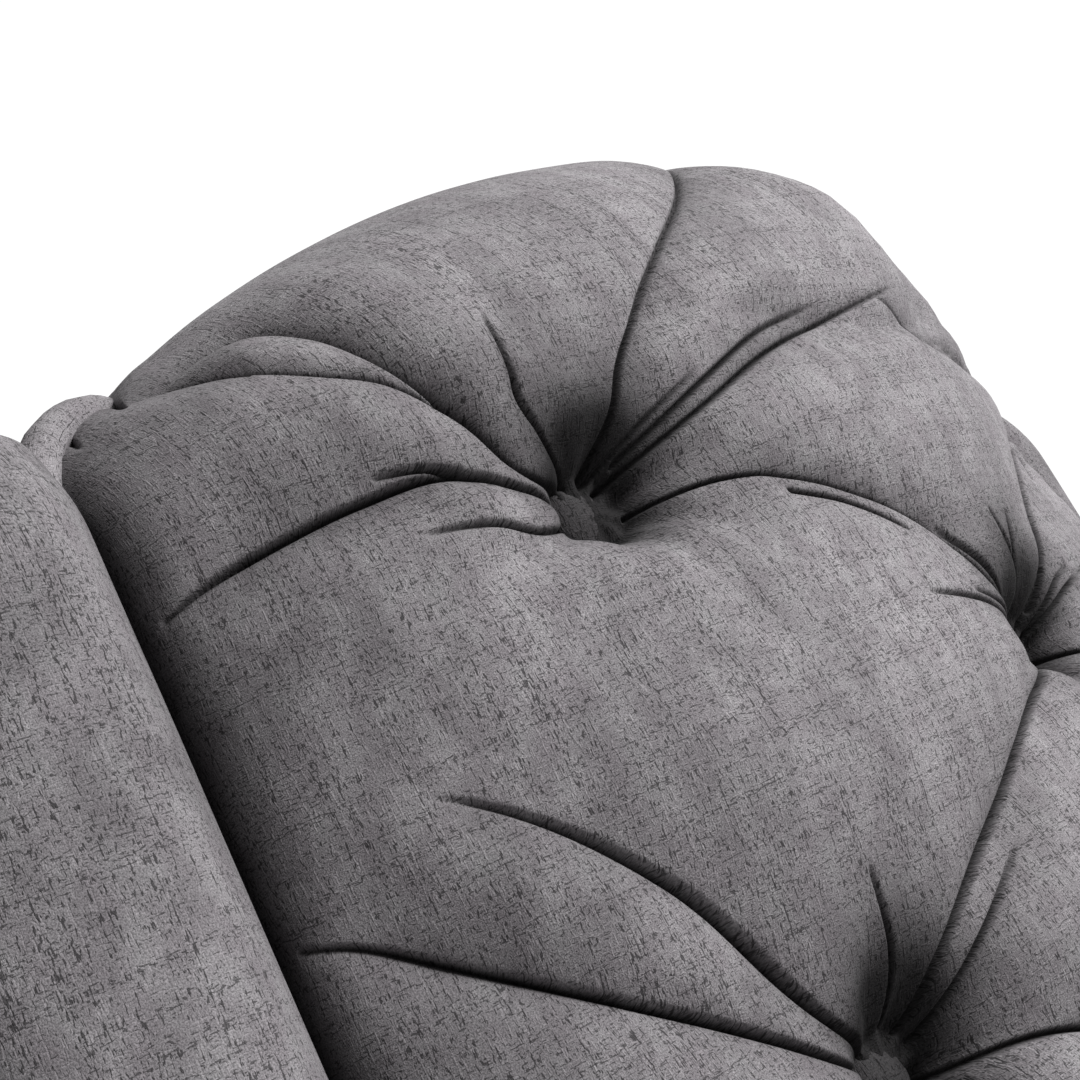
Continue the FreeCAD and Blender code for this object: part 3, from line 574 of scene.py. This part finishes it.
def build_pillow():
    cell, levels = 4.0, 3
    count_u, count_v = int(PILLOW_SPAN / cell), int(PILLOW_RUN / cell)
    # cells of this size are halved within so many millimetres of a crease and of a button's edge
    split_within = {4.0: (10.0, 24.0), 2.0: (4.5, 10.0), 1.0: (2.2, 0.0)}

    def needs(s, v, size):
        across = np.interp(s, SECTION_S, SECTION_ACROSS)
        v = closed_up(s, v)
        flat_s, flat_w = laid_flat(across, v)
        want = np.zeros(s.shape, bool)
        near_crease, near_button = split_within[size]
        hero = (across < 40) & (v > 380)        # the upper left part is seen from close by
        for line, deep, wide, tuck, side, mid, end in CREASES:
            if side == 0:
                continue
            box = near_box(flat_s, flat_w, line, near_crease)
            box = box[hero[box] | (size > 2) | ((size > 1) & (end > KEPT_END))]
            if len(box):
                dist, sign, along = near_line(flat_s[box], flat_w[box], line)
                want[box] |= dist < near_crease * (1.0 if size > 2 else np.where(hero[box], 1.0, 0.6))
        for bx, up, row in button_places():
            bs, bw = laid_flat(bx, up)
            close = np.hypot(flat_s - bs, flat_w - bw) < BUTTON_R + near_button
            want |= close & (hero | (size > 2)) & (near_button > 0)
        if size == 4.0:
            want |= (across < 20) & (v > 400)
        return want

    done = cells_of(count_u, count_v, cell, levels, needs)
    i, j, faces = sheet_of_cells(done, SHEET_STRIDE)
    s, v = i * cell / 2 ** levels, j * cell / 2 ** levels
    v = closed_up(s, v)
    base = pillow_smooth(s, v)
    du = pillow_smooth(np.minimum(s + 1, PILLOW_SPAN), v) - pillow_smooth(np.maximum(s - 1, 0), v)
    dv = pillow_smooth(s, v + 1) - pillow_smooth(s, v - 1)
    normal = np.cross(dv, du)
    normal /= np.linalg.norm(normal, axis=-1)[:, None] + 1e-9
    across = np.interp(s, SECTION_S, SECTION_ACROSS)
    flat_s, flat_w = laid_flat(across, v)
    depth, painted_shade = pillow_depth(flat_s, flat_w)
    past_edge = np.abs(across) - HALF_W
    # painted shade: the pillow is painted darker towards its sides, where the bolsters shade it, and darkest
    # down its sides in the crevice
    painted_shade = 1 - (1 - painted_shade) * (1 - 0.3 * smooth((past_edge + 100) / 90))      # shaded by the bolsters
    painted_shade = np.maximum(painted_shade, 0.85 * smooth((past_edge + 16) / 20))
    fine = lattice_noise(s, v, 19, 12) * (0.4 + np.clip(depth, 0, 12) / 12)
    depth += 0.8 * lattice_noise(s, v, 46, 11) + 0.4 * fine
    # the sides lie against the bolsters, so they stay where they are
    depth *= 0.12 + 0.88 * smooth((4 - past_edge) / 26)
    depth *= smooth(np.minimum(s, PILLOW_SPAN - s) / 40.0)
    toward = np.zeros_like(base)
    turn = roll_turn(base[:, 0], v)
    toward[:, 1], toward[:, 2] = np.cos(turn), np.sin(turn)
    normal = np.where((normal * toward).sum(-1, keepdims=True) < 0, -normal, normal)
    finished = (normal ** 2).sum(-1, keepdims=True) < 0.5       # no slope to take at the end of the turn
    normal = np.where(finished, toward, normal)
    edge = smooth((np.abs(base[:, 0]) - 190) / 70.0)[:, None]
    way = toward * (1 - edge) + normal * edge
    way /= np.linalg.norm(way, axis=-1, keepdims=True)
    p = base - way * depth[:, None]
    verts = to_chair(p[:, 0], p[:, 1], p[:, 2])
    uv = np.stack([flat_s, flat_w], 1)[faces[0]] * 0.001
    piece = cloth_mesh("back_pillow_cover", verts, faces, uv, painted_shade)
    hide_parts("back_pillow")


# painted shade: the buttons are painted this much darker
BUTTON_PAINTED_SHADE = 0.9          # the buttons sit deep in their hollows
BUTTON_RISE = 6.5
BUTTON_TURNS = 118.0        # degrees from the middle of the dome to its tucked edge
BUTTON_RINGS, BUTTON_SIDES = 14, 40


def crown_at(x):
    return CROWN * (1 - min(1, abs(x) / HALF_W) ** CROWN_POWER) ** (1 / CROWN_POWER)


def build_buttons():
    """Covered buttons: a low dome with its edge turned under."""
    verts, loops, starts, totals, uvs = [], [], [], [], []
    around = [2 * math.pi * k / BUTTON_SIDES for k in range(BUTTON_SIDES)]
    for bx, up, row in button_places():
        base = len(verts)
        height = crown_at(bx) - SEAT_OF_BUTTON - 2.0
        for a in np.linspace(0, 1, BUTTON_RINGS):
            turn = a * math.radians(BUTTON_TURNS)
            radius = (BUTTON_R + 0.8) * math.sin(min(turn, math.pi / 2))
            lift = BUTTON_RISE * math.cos(turn)
            on_cloth = BUTTON_R * 1.5 * a
            for b in around:
                verts.append((bx + radius * math.cos(b), height + lift, up + radius * math.sin(b)))
                uvs.append(((bx + on_cloth * math.cos(b)) * 0.001, (up + on_cloth * math.sin(b)) * 0.001))
        for m in range(BUTTON_RINGS - 1):
            for k in range(BUTTON_SIDES):
                low, next_k = base + m * BUTTON_SIDES, (k + 1) % BUTTON_SIDES
                starts.append(len(loops))
                totals.append(4)
                loops.extend((low + k, low + BUTTON_SIDES + k, low + BUTTON_SIDES + next_k, low + next_k))
    verts = np.array(verts)
    uv = np.array(uvs)[loops]
    # painted shade over the whole of every button
    shade = np.full(len(verts), BUTTON_PAINTED_SHADE)
    verts = to_chair(verts[:, 0], verts[:, 1], verts[:, 2])
    piece = cloth_mesh("button_covers", verts, (loops, starts, totals), uv, shade)
    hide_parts("tuft_buttons")


build_pillow()
build_buttons()

# ---- side bolsters -------------------------------------------------------------------------------
BOLSTER_INNER, BOLSTER_OUTER = across_mm("back_bolster_right")
BOLSTER_CROWN = 28.0
BOLSTER_RIDGE = 0.36        # where across the bolster its crown is highest
BOLSTER_ROLL_R = 40.0
BOLSTER_TURN = 2.4          # radians
BOLSTER_SIDES_REACH = -62.0 # the bolster's sides go back to the outer back
BOLSTER_PAINTED_SHADE = 0.26        # painted shade: the whole bolster is painted this much darker
BOLSTER_BELOW_BACK = 39.0   # the bolster starts to roll over this far below the outer back's arch
BOLSTER_INNER_SIDE, BOLSTER_OUTER_SIDE = 40.0, 66.0
OUTER_BACK_FRONT, OUTER_BACK_REAR = 59.0, 75.0
OUTER_BACK_TOP_MID, OUTER_BACK_TOP_SIDE, OUTER_BACK_BOTTOM = 728.0, 640.0, 32.0


def outer_back_top(x):
    """The arched top edge of the outer back: an arc through its middle and its two corners."""
    half, rise = BOLSTER_OUTER, OUTER_BACK_TOP_MID - OUTER_BACK_TOP_SIDE
    r = (half * half + rise * rise) / (2 * rise)
    return OUTER_BACK_TOP_MID - r + np.sqrt(r * r - np.minimum(np.abs(x), half) ** 2)


def bolster_section():
    t = (1 - np.cos(np.linspace(0, math.pi, 2001))) / 2
    x = BOLSTER_INNER + (BOLSTER_OUTER - BOLSTER_INNER) * t
    q = (t - BOLSTER_RIDGE) / np.where(t < BOLSTER_RIDGE, BOLSTER_RIDGE, 1 - BOLSTER_RIDGE)
    c = BOLSTER_CROWN * (1 - np.abs(q) ** np.where(q < 0, 1.6, 1.9)) ** np.where(q < 0, 0.95, 0.75)
    x = np.concatenate([np.full(40, BOLSTER_INNER), x, np.full(40, BOLSTER_OUTER)])
    inner_side = np.linspace(-BOLSTER_INNER_SIDE, -1, 40)
    outer_side = np.linspace(-1, -BOLSTER_OUTER_SIDE, 40)
    c = np.concatenate([inner_side, c, outer_side])
    s = np.concatenate([[0], np.cumsum(np.hypot(np.diff(x), np.diff(c)))])
    return s, x, c


def build_bolster(side, sign):
    sec_s, sec_x, sec_c = bolster_section()
    reach = OUTER_BACK_TOP_MID - BOLSTER_BELOW_BACK
    over = BOLSTER_ROLL_R * BOLSTER_TURN
    cell, run = 2.5, reach + over
    done = cells_of(int(sec_s[-1] / cell), int(run / cell), cell, 0, None)
    i, j, faces = sheet_of_cells(done, SHEET_STRIDE)
    s, v = i * cell, j * cell
    x, c = np.interp(s, sec_s, sec_x), np.interp(s, sec_s, sec_c)
    start = outer_back_top(x) - BOLSTER_BELOW_BACK
    v = v * (start + over) / run
    turn = np.clip((v - start) / BOLSTER_ROLL_R, 0, BOLSTER_TURN)
    up = np.minimum(v, start) + BOLSTER_ROLL_R * np.sin(turn)
    n = -BOLSTER_ROLL_R * (1 - np.cos(turn))
    seed = 31 if sign < 0 else 37
    puff = 1.6 * lattice_noise(s, v, 90, seed) + 0.5 * lattice_noise(s, v, 34, seed + 1)
    # a seam runs along the top edge, with little gathers below it
    seam_at = start + 30
    seam = np.abs(v - seam_at)
    below_seam = np.exp(-np.maximum(0, seam_at - v) / 18.0) * (v < seam_at)
    gathers = lattice_noise(s, v * 0.25, 12, seed + 2) * below_seam
    seam_dip = 3.2 * np.exp(-(seam / 2.2) ** 2) - 1.6 * np.exp(-((seam - 6) / 4.0) ** 2)
    inner = x < BOLSTER_INNER + BOLSTER_RIDGE * (BOLSTER_OUTER - BOLSTER_INNER)
    # painted shade: a base darkening over the whole bolster, and more down its inner side into the crevice
    # beside the pillow
    painted_shade = np.maximum(BOLSTER_PAINTED_SHADE, 0.85 * (1 - smooth((c + 3) / 12)) * inner)
    crown_left = 1 - 0.5 * np.clip(turn / QUARTER_TURN, 0, 1.4) ** 1.4
    crown = np.maximum(c, 0) * crown_left * (0.5 + 0.5 * smooth(v / 90.0))
    crown += (puff + 0.9 * gathers) * smooth((c + 10) / 30) - seam_dip * smooth((c + 30) / 30)
    n, up = n + crown * np.cos(turn), up + crown * np.sin(turn)
    down_side = np.clip(-c / np.where(inner, BOLSTER_INNER_SIDE, BOLSTER_OUTER_SIDE), 0, 1)
    n += down_side * (BOLSTER_SIDES_REACH - n)
    p = np.stack([sign * x, n, up], -1)
    loops, starts, totals = faces
    if sign > 0:
        loops = loops.reshape(-1, 4)[:, ::-1].ravel()
    uv = np.stack([s + 11, v + 20], 1)[loops] * 0.001
    verts = to_chair(p[:, 0], p[:, 1], p[:, 2])
    piece = cloth_mesh(f"back_bolster_cover_{side}", verts, (loops, starts, totals), uv, painted_shade)
    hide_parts(f"back_bolster_{side}")


# ---- padded boxes, panels and welts --------------------------------------------------------------
def box_faces(count):
    """The six faces of a box as grids of so many cells: places from 0 to 1, quads, and each quad's axis."""
    places, quads, face_axis = [], [], []
    base = 0
    for axis in range(3):
        b, c = [k for k in range(3) if k != axis]
        for end in (0, 1):
            steps = [np.linspace(0, 1, count[k] + 1) for k in (b, c)]
            gb, gc = np.meshgrid(*steps, indexing="ij")
            p = np.empty(gb.shape + (3,))
            p[..., axis], p[..., b], p[..., c] = end, gb, gc
            index = base + np.arange(gb.size).reshape(gb.shape)
            corners = [index[:-1, :-1], index[1:, :-1], index[1:, 1:], index[:-1, 1:]]
            q = np.stack(corners, -1).reshape(-1, 4)
            if (end == 1) == (axis == 1):
                q = q[:, ::-1]
            places.append(p.reshape(-1, 3))
            quads.append(q)
            face_axis.append(np.full(len(q), axis))
            base += gb.size
    return np.concatenate(places), np.concatenate(quads), np.concatenate(face_axis)


def puffy_box(name, x, y, z, radius, puff, cell, nodes, seed,
              warp=None, leaned=False, wrinkle=0.8):
    """A padded box with rounded edges and swelling faces; x, y and z are (low, high).

    puff is how far the faces across each axis swell. A leaned box is in the back's frame, with y going back.
    """
    low, high = np.array([x[0], y[0], z[0]], float), np.array([x[1], y[1], z[1]], float)
    size = high - low
    count = np.maximum(2, np.round(size / cell).astype(int))
    places, quads, face_axis = box_faces(count)
    flat = low + places * size
    r = np.minimum(radius, size / 2 - 0.01)
    inner = np.clip(flat, low + r, high - r)
    d = flat - inner
    unit = d / (np.linalg.norm(d / r, axis=1)[:, None] + 1e-9) / r
    p = inner + unit * r
    swell = 1 - np.abs(places * 2 - 1) ** 3
    for a in range(3):
        b, c = [k for k in range(3) if k != a]
        p[:, a] += unit[:, a] * puff[a] * swell[:, b] * swell[:, c]
    fx, fy, fz = flat.T
    wrinkles = lattice_noise(fx + fz * 0.7, fy + fz * 0.7, 70, seed)
    wrinkles = wrinkles + 0.4 * lattice_noise(fx - fz * 0.6, fy + fz * 0.8, 24, seed + 1)
    p += unit * (wrinkle * wrinkles)[:, None]
    if warp is not None:
        p = warp(p)
    loops = quads.ravel()
    pick = np.repeat(face_axis, 4)
    at = p[loops]
    u = np.where(pick == 0, at[:, 1], at[:, 0])
    v = np.where(pick == 2, at[:, 1], at[:, 2])
    uv = np.stack([u + seed * 13, v + seed * 7], 1) * 0.001
    # the six faces are welded where they meet
    keys = np.round(flat * 50).astype(np.int64)
    _, first, back = np.unique(keys, axis=0, return_index=True, return_inverse=True)
    loops = back.ravel()[loops]
    p = p[first]
    verts = to_chair(p[:, 0], -p[:, 1], p[:, 2]) if leaned else p * 0.001
    starts = np.arange(0, len(loops), 4)
    piece = cloth_mesh(name, verts, (loops, starts, np.full(len(starts), 4)), uv)
    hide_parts(*nodes)


WELT_STEP = 6.0     # about how far apart the rings of a welt are
WELT_SIDES = 10


def welt_run(pts, closed):
    """A smooth run through points in space, with places about WELT_STEP apart."""
    if closed:
        p = np.vstack([pts[-1], pts, pts[:2]])
    else:
        p = np.vstack([2 * pts[0] - pts[1], pts, 2 * pts[-1] - pts[-2]])
    out = []
    for k in range(len(p) - 3):
        a, b, c, d = p[k:k + 4]
        steps = max(2, int(np.linalg.norm(c - b) / WELT_STEP))
        out += [catmull_rom(a, b, c, d, f) for f in np.arange(steps) / steps]
    if not closed:
        out.append(p[-2])
    return np.array(out)


def welt(name, points, radius=3.2, closed=False):
    """A piped seam: a cord in its cover, in the chair's frame, in mm."""
    pts = welt_run(np.array(points, float), closed)
    seg = np.diff(np.vstack([pts, pts[:1]]) if closed else pts, axis=0)
    length = np.concatenate([[0], np.cumsum(np.linalg.norm(seg, axis=1))])
    tangent = np.roll(pts, -1, 0) - np.roll(pts, 1, 0) if closed else np.gradient(pts, axis=0)
    tangent /= np.linalg.norm(tangent, axis=1)[:, None] + 1e-9
    steep = np.abs(tangent[:, 2:3]) >= 0.9
    side = np.cross(tangent, np.where(steep, [[0, 1.0, 0]], [[0, 0, 1.0]]))
    side /= np.linalg.norm(side, axis=1)[:, None] + 1e-9
    other = np.cross(tangent, side)
    turn = (np.arange(WELT_SIDES) * 2 * math.pi / WELT_SIDES)[None, :, None]
    verts = pts[:, None] + radius * (side[:, None] * np.cos(turn) + other[:, None] * np.sin(turn))
    loops, uvs = [], []
    count = len(pts)
    side_wide = radius * 0.63
    for m in range(count if closed else count - 1):
        here, there = m * WELT_SIDES, (m + 1) % count * WELT_SIDES
        la, lb = length[m], length[m + 1]
        for k in range(WELT_SIDES):
            k2 = (k + 1) % WELT_SIDES
            ca, cb = k * side_wide, (k + 1) * side_wide
            loops += [here + k, there + k, there + k2, here + k2]
            uvs += [(ca, la), (ca, lb), (cb, lb), (cb, la)]
    starts = np.arange(0, len(loops), 4)
    faces = loops, starts, np.full(len(starts), 4)
    piece = cloth_mesh(name, verts.reshape(-1, 3) * 0.001, faces, np.array(uvs) * 0.001)


def rounded_loop(x, y, z, radius):
    """Points of a level rectangle with rounded corners; x and y are (low, high)."""
    pts = []
    corners = ((x[1] - radius, y[1] - radius, 0), (x[0] + radius, y[1] - radius, 90),
               (x[0] + radius, y[0] + radius, 180), (x[1] - radius, y[0] + radius, 270))
    for corner_x, corner_y, start in corners:
        for step in (0, 30, 60, 90):
            t = math.radians(start + step)
            pts.append((corner_x + radius * math.cos(t), corner_y + radius * math.sin(t), z))
    return pts


# ---- seat, arms and outer back ---------------------------------------------------------------------
def build_seat():
    lo, hi = mm_box("seat_cushion")
    z0, z1 = lo[2] + 1, hi[2] - 13
    puffy_box("seat_cushion_cover", (lo[0], hi[0]), (lo[1] + 5, hi[1] + 12), (z0, z1), radius=20,
              puff=(0, 6, 14), cell=7, nodes=["seat_cushion"], seed=3, wrinkle=1.3)
    across, along = (lo[0] + 1.5, hi[0] - 1.5), (lo[1] + 5.5, hi[1] - 2)
    for name, z in (("seat_welt_top", z1 - 5), ("seat_welt_bottom", z0 + 5)):
        welt(name, rounded_loop(across, along, z, 22), closed=True)
    lo, hi = mm_box("seat_deck_pad")
    puffy_box("seat_deck_cover", (lo[0], hi[0]), (lo[1] - 2, hi[1]), (lo[2], hi[2]), radius=9,
              puff=(0, 3, 0), cell=8, nodes=["seat_deck_pad"], seed=5)
    lo, hi = mm_box("front_apron")
    puffy_box("front_apron_cover", (lo[0] - 0.5, hi[0] + 0.5), (lo[1], hi[1] + 28), (lo[2], hi[2] + 4),
              radius=5.5, puff=(0, 3, 0), cell=8, nodes=["front_apron"], seed=7)
    z = hi[2] - 2
    welt("front_apron_welt", [(lo[0] + 4, lo[1] + 3, z), (0, lo[1] + 2, z), (hi[0] - 4, lo[1] + 3, z)])
    lo, hi = mm_box("rear_apron")
    puffy_box("rear_apron_cover", (lo[0], hi[0]), (lo[1] - 30, hi[1]), (lo[2], hi[2] + 13), radius=9,
              puff=(0, 3, 0), cell=9, nodes=["rear_apron"], seed=9)
    z = hi[2] + 9
    welt("rear_apron_welt", [(lo[0] + 4, hi[1] - 2, z), (0, hi[1], z), (hi[0] - 4, hi[1] - 2, z)])


def bolster_front_y(z):
    """Where the bolsters' front is at a height, in the chair's frame, in mm."""
    forward = BOLSTER_CROWN + 2
    up = (z - BACK_FOOT_M[2] * 1000 - forward * math.sin(BACK_LEAN)) / math.cos(BACK_LEAN)
    return BACK_FOOT_M[1] * 1000 + up * math.sin(BACK_LEAN) - forward * math.cos(BACK_LEAN)


NOTCH_HEEL_Y, NOTCH_HEEL_Z, NOTCH_FOOT_Z = 154.0, 322.0, 366.0      # the arm is cut away for the back here
ARM_FRONT_BOW = 12.0


def build_arm(side, sign):
    skin_lo, skin_hi = mm_box(f"arm_outer_skin_{side}")
    pad_lo, pad_hi = mm_box(f"arm_inner_pad_{side}")
    front_lo, _ = mm_box(f"arm_front_pad_{side}")
    top_lo, top_hi = mm_box(f"arm_top_pad_{side}")
    x = (min(skin_lo[0], pad_lo[0]), max(skin_hi[0], pad_hi[0]))
    y0, y1, z0, z1 = pad_lo[1], pad_hi[1], pad_lo[2], pad_hi[2]
    rear_z = [NOTCH_HEEL_Z - 4, NOTCH_HEEL_Z + 4, NOTCH_FOOT_Z, z1]
    rear_y = [y1, NOTCH_HEEL_Y, bolster_front_y(NOTCH_FOOT_Z) + 2, bolster_front_y(z1) + 2]

    def follow_back(p):
        rear = np.interp(p[:, 2], rear_z, rear_y)
        p[:, 1] = y0 + (p[:, 1] - y0) * (rear - y0) / (y1 - y0)
        return p

    seed = 11 if sign < 0 else 17
    puffy_box(f"arm_body_cover_{side}", x, (y0, y1), (z0, z1), radius=8, puff=(2.5, 0, 0), cell=9,
              nodes=[f"arm_outer_skin_{side}", f"arm_inner_pad_{side}"], warp=follow_back, seed=seed,
              wrinkle=0.9)

    def bow(p):
        q = (p[:, 0] - (x[0] + x[1]) / 2) / ((x[1] - x[0]) / 2)
        bowed = p[:, 1] + ARM_FRONT_BOW * np.clip(np.abs(q), 0, 1) ** 2.4
        p[:, 1] = np.where(p[:, 1] < y0 - 1, bowed, p[:, 1])
        return p

    puffy_box(f"arm_front_cover_{side}", x, (front_lo[1], y0 + 3), (z0, z1), radius=9, puff=(0, 2, 0), cell=8,
              nodes=[f"arm_front_pad_{side}"], warp=bow, seed=seed + 1)
    for k, edge_x in enumerate((x[0] + 3, x[1] - 3)):
        heights = (z0 + 4, (z0 + z1) / 2, z1 + 6)
        welt(f"arm_front_welt_{side}_{k}", [(edge_x, y0 - 1, z) for z in heights])

    def top_shape(p):
        z = p[:, 2]
        rear = bolster_front_y(z)
        p[:, 1] = top_lo[1] + (p[:, 1] - top_lo[1]) * (rear - top_lo[1]) / (top_hi[1] - top_lo[1])
        q = (p[:, 0] - (top_lo[0] + top_hi[0]) / 2) / ((top_hi[0] - top_lo[0]) / 2)
        p[:, 2] = z1 + (z - z1) * (1 - 0.16 * q ** 2)
        return p

    puffy_box(f"arm_top_cover_{side}", (top_lo[0], top_hi[0]), (top_lo[1], top_hi[1]), (z1, top_hi[2] - 5),
              radius=32, puff=(0, 3, 5), cell=6, nodes=[f"arm_top_pad_{side}"], warp=top_shape, seed=seed + 2,
              wrinkle=1.4)
    # the welt under the top pad runs round its front and ends inside it at the back
    rear, front, z = bolster_front_y(z1 + 5) - 3, top_lo[1], z1 + 4
    run = [(24, rear - 6, z + 4), (6, rear - 16, z), (3, rear - 40, z), (3, (rear + y0) / 2, z),
           (3, front + 42, z), (14, front + 12, z)]
    left = [(top_lo[0] + inset, y, h) for inset, y, h in run]
    right = [(top_hi[0] - inset, y, h) for inset, y, h in run[::-1]]
    welt(f"arm_top_welt_{side}", left + [((top_lo[0] + top_hi[0]) / 2, front + 4, z)] + right)


def build_outer_back():
    def arched(p):
        stretch = (outer_back_top(p[:, 0]) - OUTER_BACK_BOTTOM) / (OUTER_BACK_TOP_MID - OUTER_BACK_BOTTOM)
        p[:, 2] = OUTER_BACK_BOTTOM + (p[:, 2] - OUTER_BACK_BOTTOM) * stretch
        return p

    puffy_box("outer_back_cover", (-BOLSTER_OUTER, BOLSTER_OUTER), (OUTER_BACK_FRONT, OUTER_BACK_REAR),
              (OUTER_BACK_BOTTOM, OUTER_BACK_TOP_MID), radius=8, puff=(0, 4, 0), cell=8, nodes=["outer_back"],
              warp=arched, seed=21, leaned=True)
    side_x, corner = BOLSTER_OUTER - 3, OUTER_BACK_TOP_SIDE
    heights = (35.0, 160.0, 300.0, 440.0, 550.0, corner - 45, corner - 22)
    climb = [(side_x, up) for up in heights] + [(side_x - 5, corner - 8)]
    arc = [(x, float(outer_back_top(x)) - 3) for x in np.linspace(side_x - 22, -side_x + 22, 21)]
    run = np.array(climb + arc + [(-x, up) for x, up in climb[::-1]])
    behind = np.full(len(run), 3 - OUTER_BACK_REAR)
    welt("outer_back_welt", to_chair(run[:, 0], behind, run[:, 1]) * 1000, radius=3.5)


def build_corner_roll(side, sign):
    """The rolled edge of the back's side panel, which shows where the pillow's corner meets the bolster."""
    run = [(283, -14, 560), (284, -14, 640), (283, -15, 658), (277, -16, 673),
           (265, -19, 684), (247, -25, 693), (225, -36, 697)]
    x, n, up = np.array(run, float).T
    welt(f"back_corner_roll_{side}", to_chair(sign * x, n, up) * 1000, radius=6.5)


for side, sign in (("left", -1), ("right", 1)):
    build_bolster(side, sign)
    build_corner_roll(side, sign)
    build_arm(side, sign)
build_seat()
build_outer_back()


# ---- hard parts ----------------------------------------------------------------------------------
def new_material(name, rough):
    """A material, its node tree and its shader."""
    mat = bpy.data.materials.new(name)
    mat.use_nodes = True
    shader = mat.node_tree.nodes["Principled BSDF"]
    shader.inputs["Roughness"].default_value = rough
    return mat, mat.node_tree, shader


def plain_material(name, colour, rough, metallic=0.0, bump_scale=0.0, bump_strength=0.0):
    mat, tree, shader = new_material(name, rough)
    shader.inputs["Base Color"].default_value = (*colour, 1)
    shader.inputs["Metallic"].default_value = metallic
    if bump_scale:
        coord = node(tree, "ShaderNodeTexCoord")
        tex = node(tree, "ShaderNodeTexNoise", Scale=bump_scale, Detail=3)
        bump = node(tree, "ShaderNodeBump", Strength=bump_strength, Distance=0.0005)
        tree.links.new(coord.outputs["Object"], tex.inputs["Vector"])
        tree.links.new(tex.outputs["Fac"], bump.inputs["Height"])
        tree.links.new(bump.outputs[0], shader.inputs["Normal"])
    return mat


def wood_material(name, light, dark, ring_scale):
    mat, tree, shader = new_material(name, 0.65)
    coord = node(tree, "ShaderNodeTexCoord")
    mapping = node(tree, "ShaderNodeMapping", Scale=(1.5, 14, 14))
    tex = node(tree, "ShaderNodeTexNoise", Scale=ring_scale, Detail=5, Distortion=0.6)
    mix = node(tree, "ShaderNodeMix", data_type="RGBA", A=(*light, 1), B=(*dark, 1))
    tree.links.new(coord.outputs["Object"], mapping.inputs[0])
    tree.links.new(mapping.outputs[0], tex.inputs["Vector"])
    tree.links.new(tex.outputs["Fac"], mix.inputs["Factor"])
    tree.links.new(mix.outputs["Result"], shader.inputs["Base Color"])
    return mat


HARD = {
    "black_steel": plain_material("black_powder_coat", (0.018, 0.018, 0.019), 0.42, 0.0, 900, 0.25),
    "bright_steel": plain_material("zinc_plate", (0.62, 0.62, 0.60), 0.32, 1.0, 300, 0.08),
    "pad_rubber": plain_material("black_rubber", (0.03, 0.03, 0.03), 0.75, 0.0, 500, 0.2),
    "nylon": plain_material("natural_nylon", (0.78, 0.76, 0.70), 0.45),
    "timber": wood_material("pine", (0.62, 0.43, 0.24), (0.47, 0.29, 0.14), 6),
    "plywood": wood_material("birch_ply", (0.72, 0.56, 0.37), (0.60, 0.43, 0.26), 4),
    "dust_cloth": plain_material("black_cambric", (0.02, 0.02, 0.02), 0.95, 0.0, 700, 0.3),
    "twine": plain_material("waxed_twine", (0.55, 0.50, 0.40), 0.7),
}
slots = {entry["node"]: entry["material_slot"] for entry in frame["record"]["subparts"]}
for name, obj in frame["nodes"].items():
    if slots[name] in HARD:
        obj.data.materials.clear()
        obj.data.materials.append(HARD[slots[name]])

# ---- floor, light and camera ---------------------------------------------------------------------
BACKDROP_SIDE = (0.78, 0.62, 0.08)      # a white backdrop on this side, and a dimmer studio all round
BACKDROP_LIGHT, STUDIO_DIM = 1.05, 0.24
FLOOR_WHITE = (0.72, 0.72, 0.72, 1)
KEY_PLACE, KEY_TARGET, KEY_SIZE, KEY_POWER = (0.9, -1.5, 2.9), (0, 0, 0.8), 1.1, 125
CAMERA_PLACE = (-0.521, 0.010, 0.905)
CAMERA_TURN = (90.6, 8.6, -51.1)        # degrees
CAMERA_ANGLE = 39.7


def build_floor():
    bpy.ops.mesh.primitive_plane_add(size=60, location=(0, 0, 0))
    floor = bpy.context.object
    floor.name = "floor"
    mat, _, shader = new_material("floor_white", 0.8)
    shader.inputs["Base Color"].default_value = FLOOR_WHITE
    floor.data.materials.append(mat)


def build_world():
    world = bpy.data.worlds.new("studio")
    bpy.context.scene.world = world
    world.use_nodes = True
    tree = world.node_tree
    coord = node(tree, "ShaderNodeTexCoord")
    facing = node(tree, "ShaderNodeVectorMath", operation="DOT_PRODUCT")
    facing.inputs[1].default_value = BACKDROP_SIDE
    fall = node(tree, "ShaderNodeMapRange", interpolation_type="SMOOTHSTEP",
                From_Min=0.25, From_Max=0.82, To_Min=STUDIO_DIM, To_Max=BACKDROP_LIGHT)
    tree.links.new(coord.outputs["Generated"], facing.inputs[0])
    tree.links.new(facing.outputs["Value"], fall.inputs["Value"])
    tree.links.new(fall.outputs[0], tree.nodes["Background"].inputs["Strength"])
    tree.nodes["Background"].inputs["Color"].default_value = (1, 1, 1, 1)


def build_key_light():
    lamp = bpy.data.lights.new("key", "AREA")
    lamp.size = KEY_SIZE
    lamp.energy = KEY_POWER
    key = bpy.data.objects.new("key", lamp)
    key.location = KEY_PLACE
    key.rotation_euler = (Vector(KEY_TARGET) - Vector(KEY_PLACE)).to_track_quat("-Z", "Y").to_euler()
    bpy.context.scene.collection.objects.link(key)


def build_camera():
    lens = bpy.data.cameras.new("camera")
    lens.sensor_width = 36
    lens.sensor_fit = "HORIZONTAL"
    lens.angle = math.radians(CAMERA_ANGLE)
    lens.clip_start = 0.02
    camera = bpy.data.objects.new("camera", lens)
    camera.location = CAMERA_PLACE
    camera.rotation_euler = [math.radians(turn) for turn in CAMERA_TURN]
    bpy.context.scene.collection.objects.link(camera)
    bpy.context.scene.camera = camera


build_floor()
build_world()
build_key_light()
build_camera()
bpy.context.scene.view_settings.view_transform = "Standard"
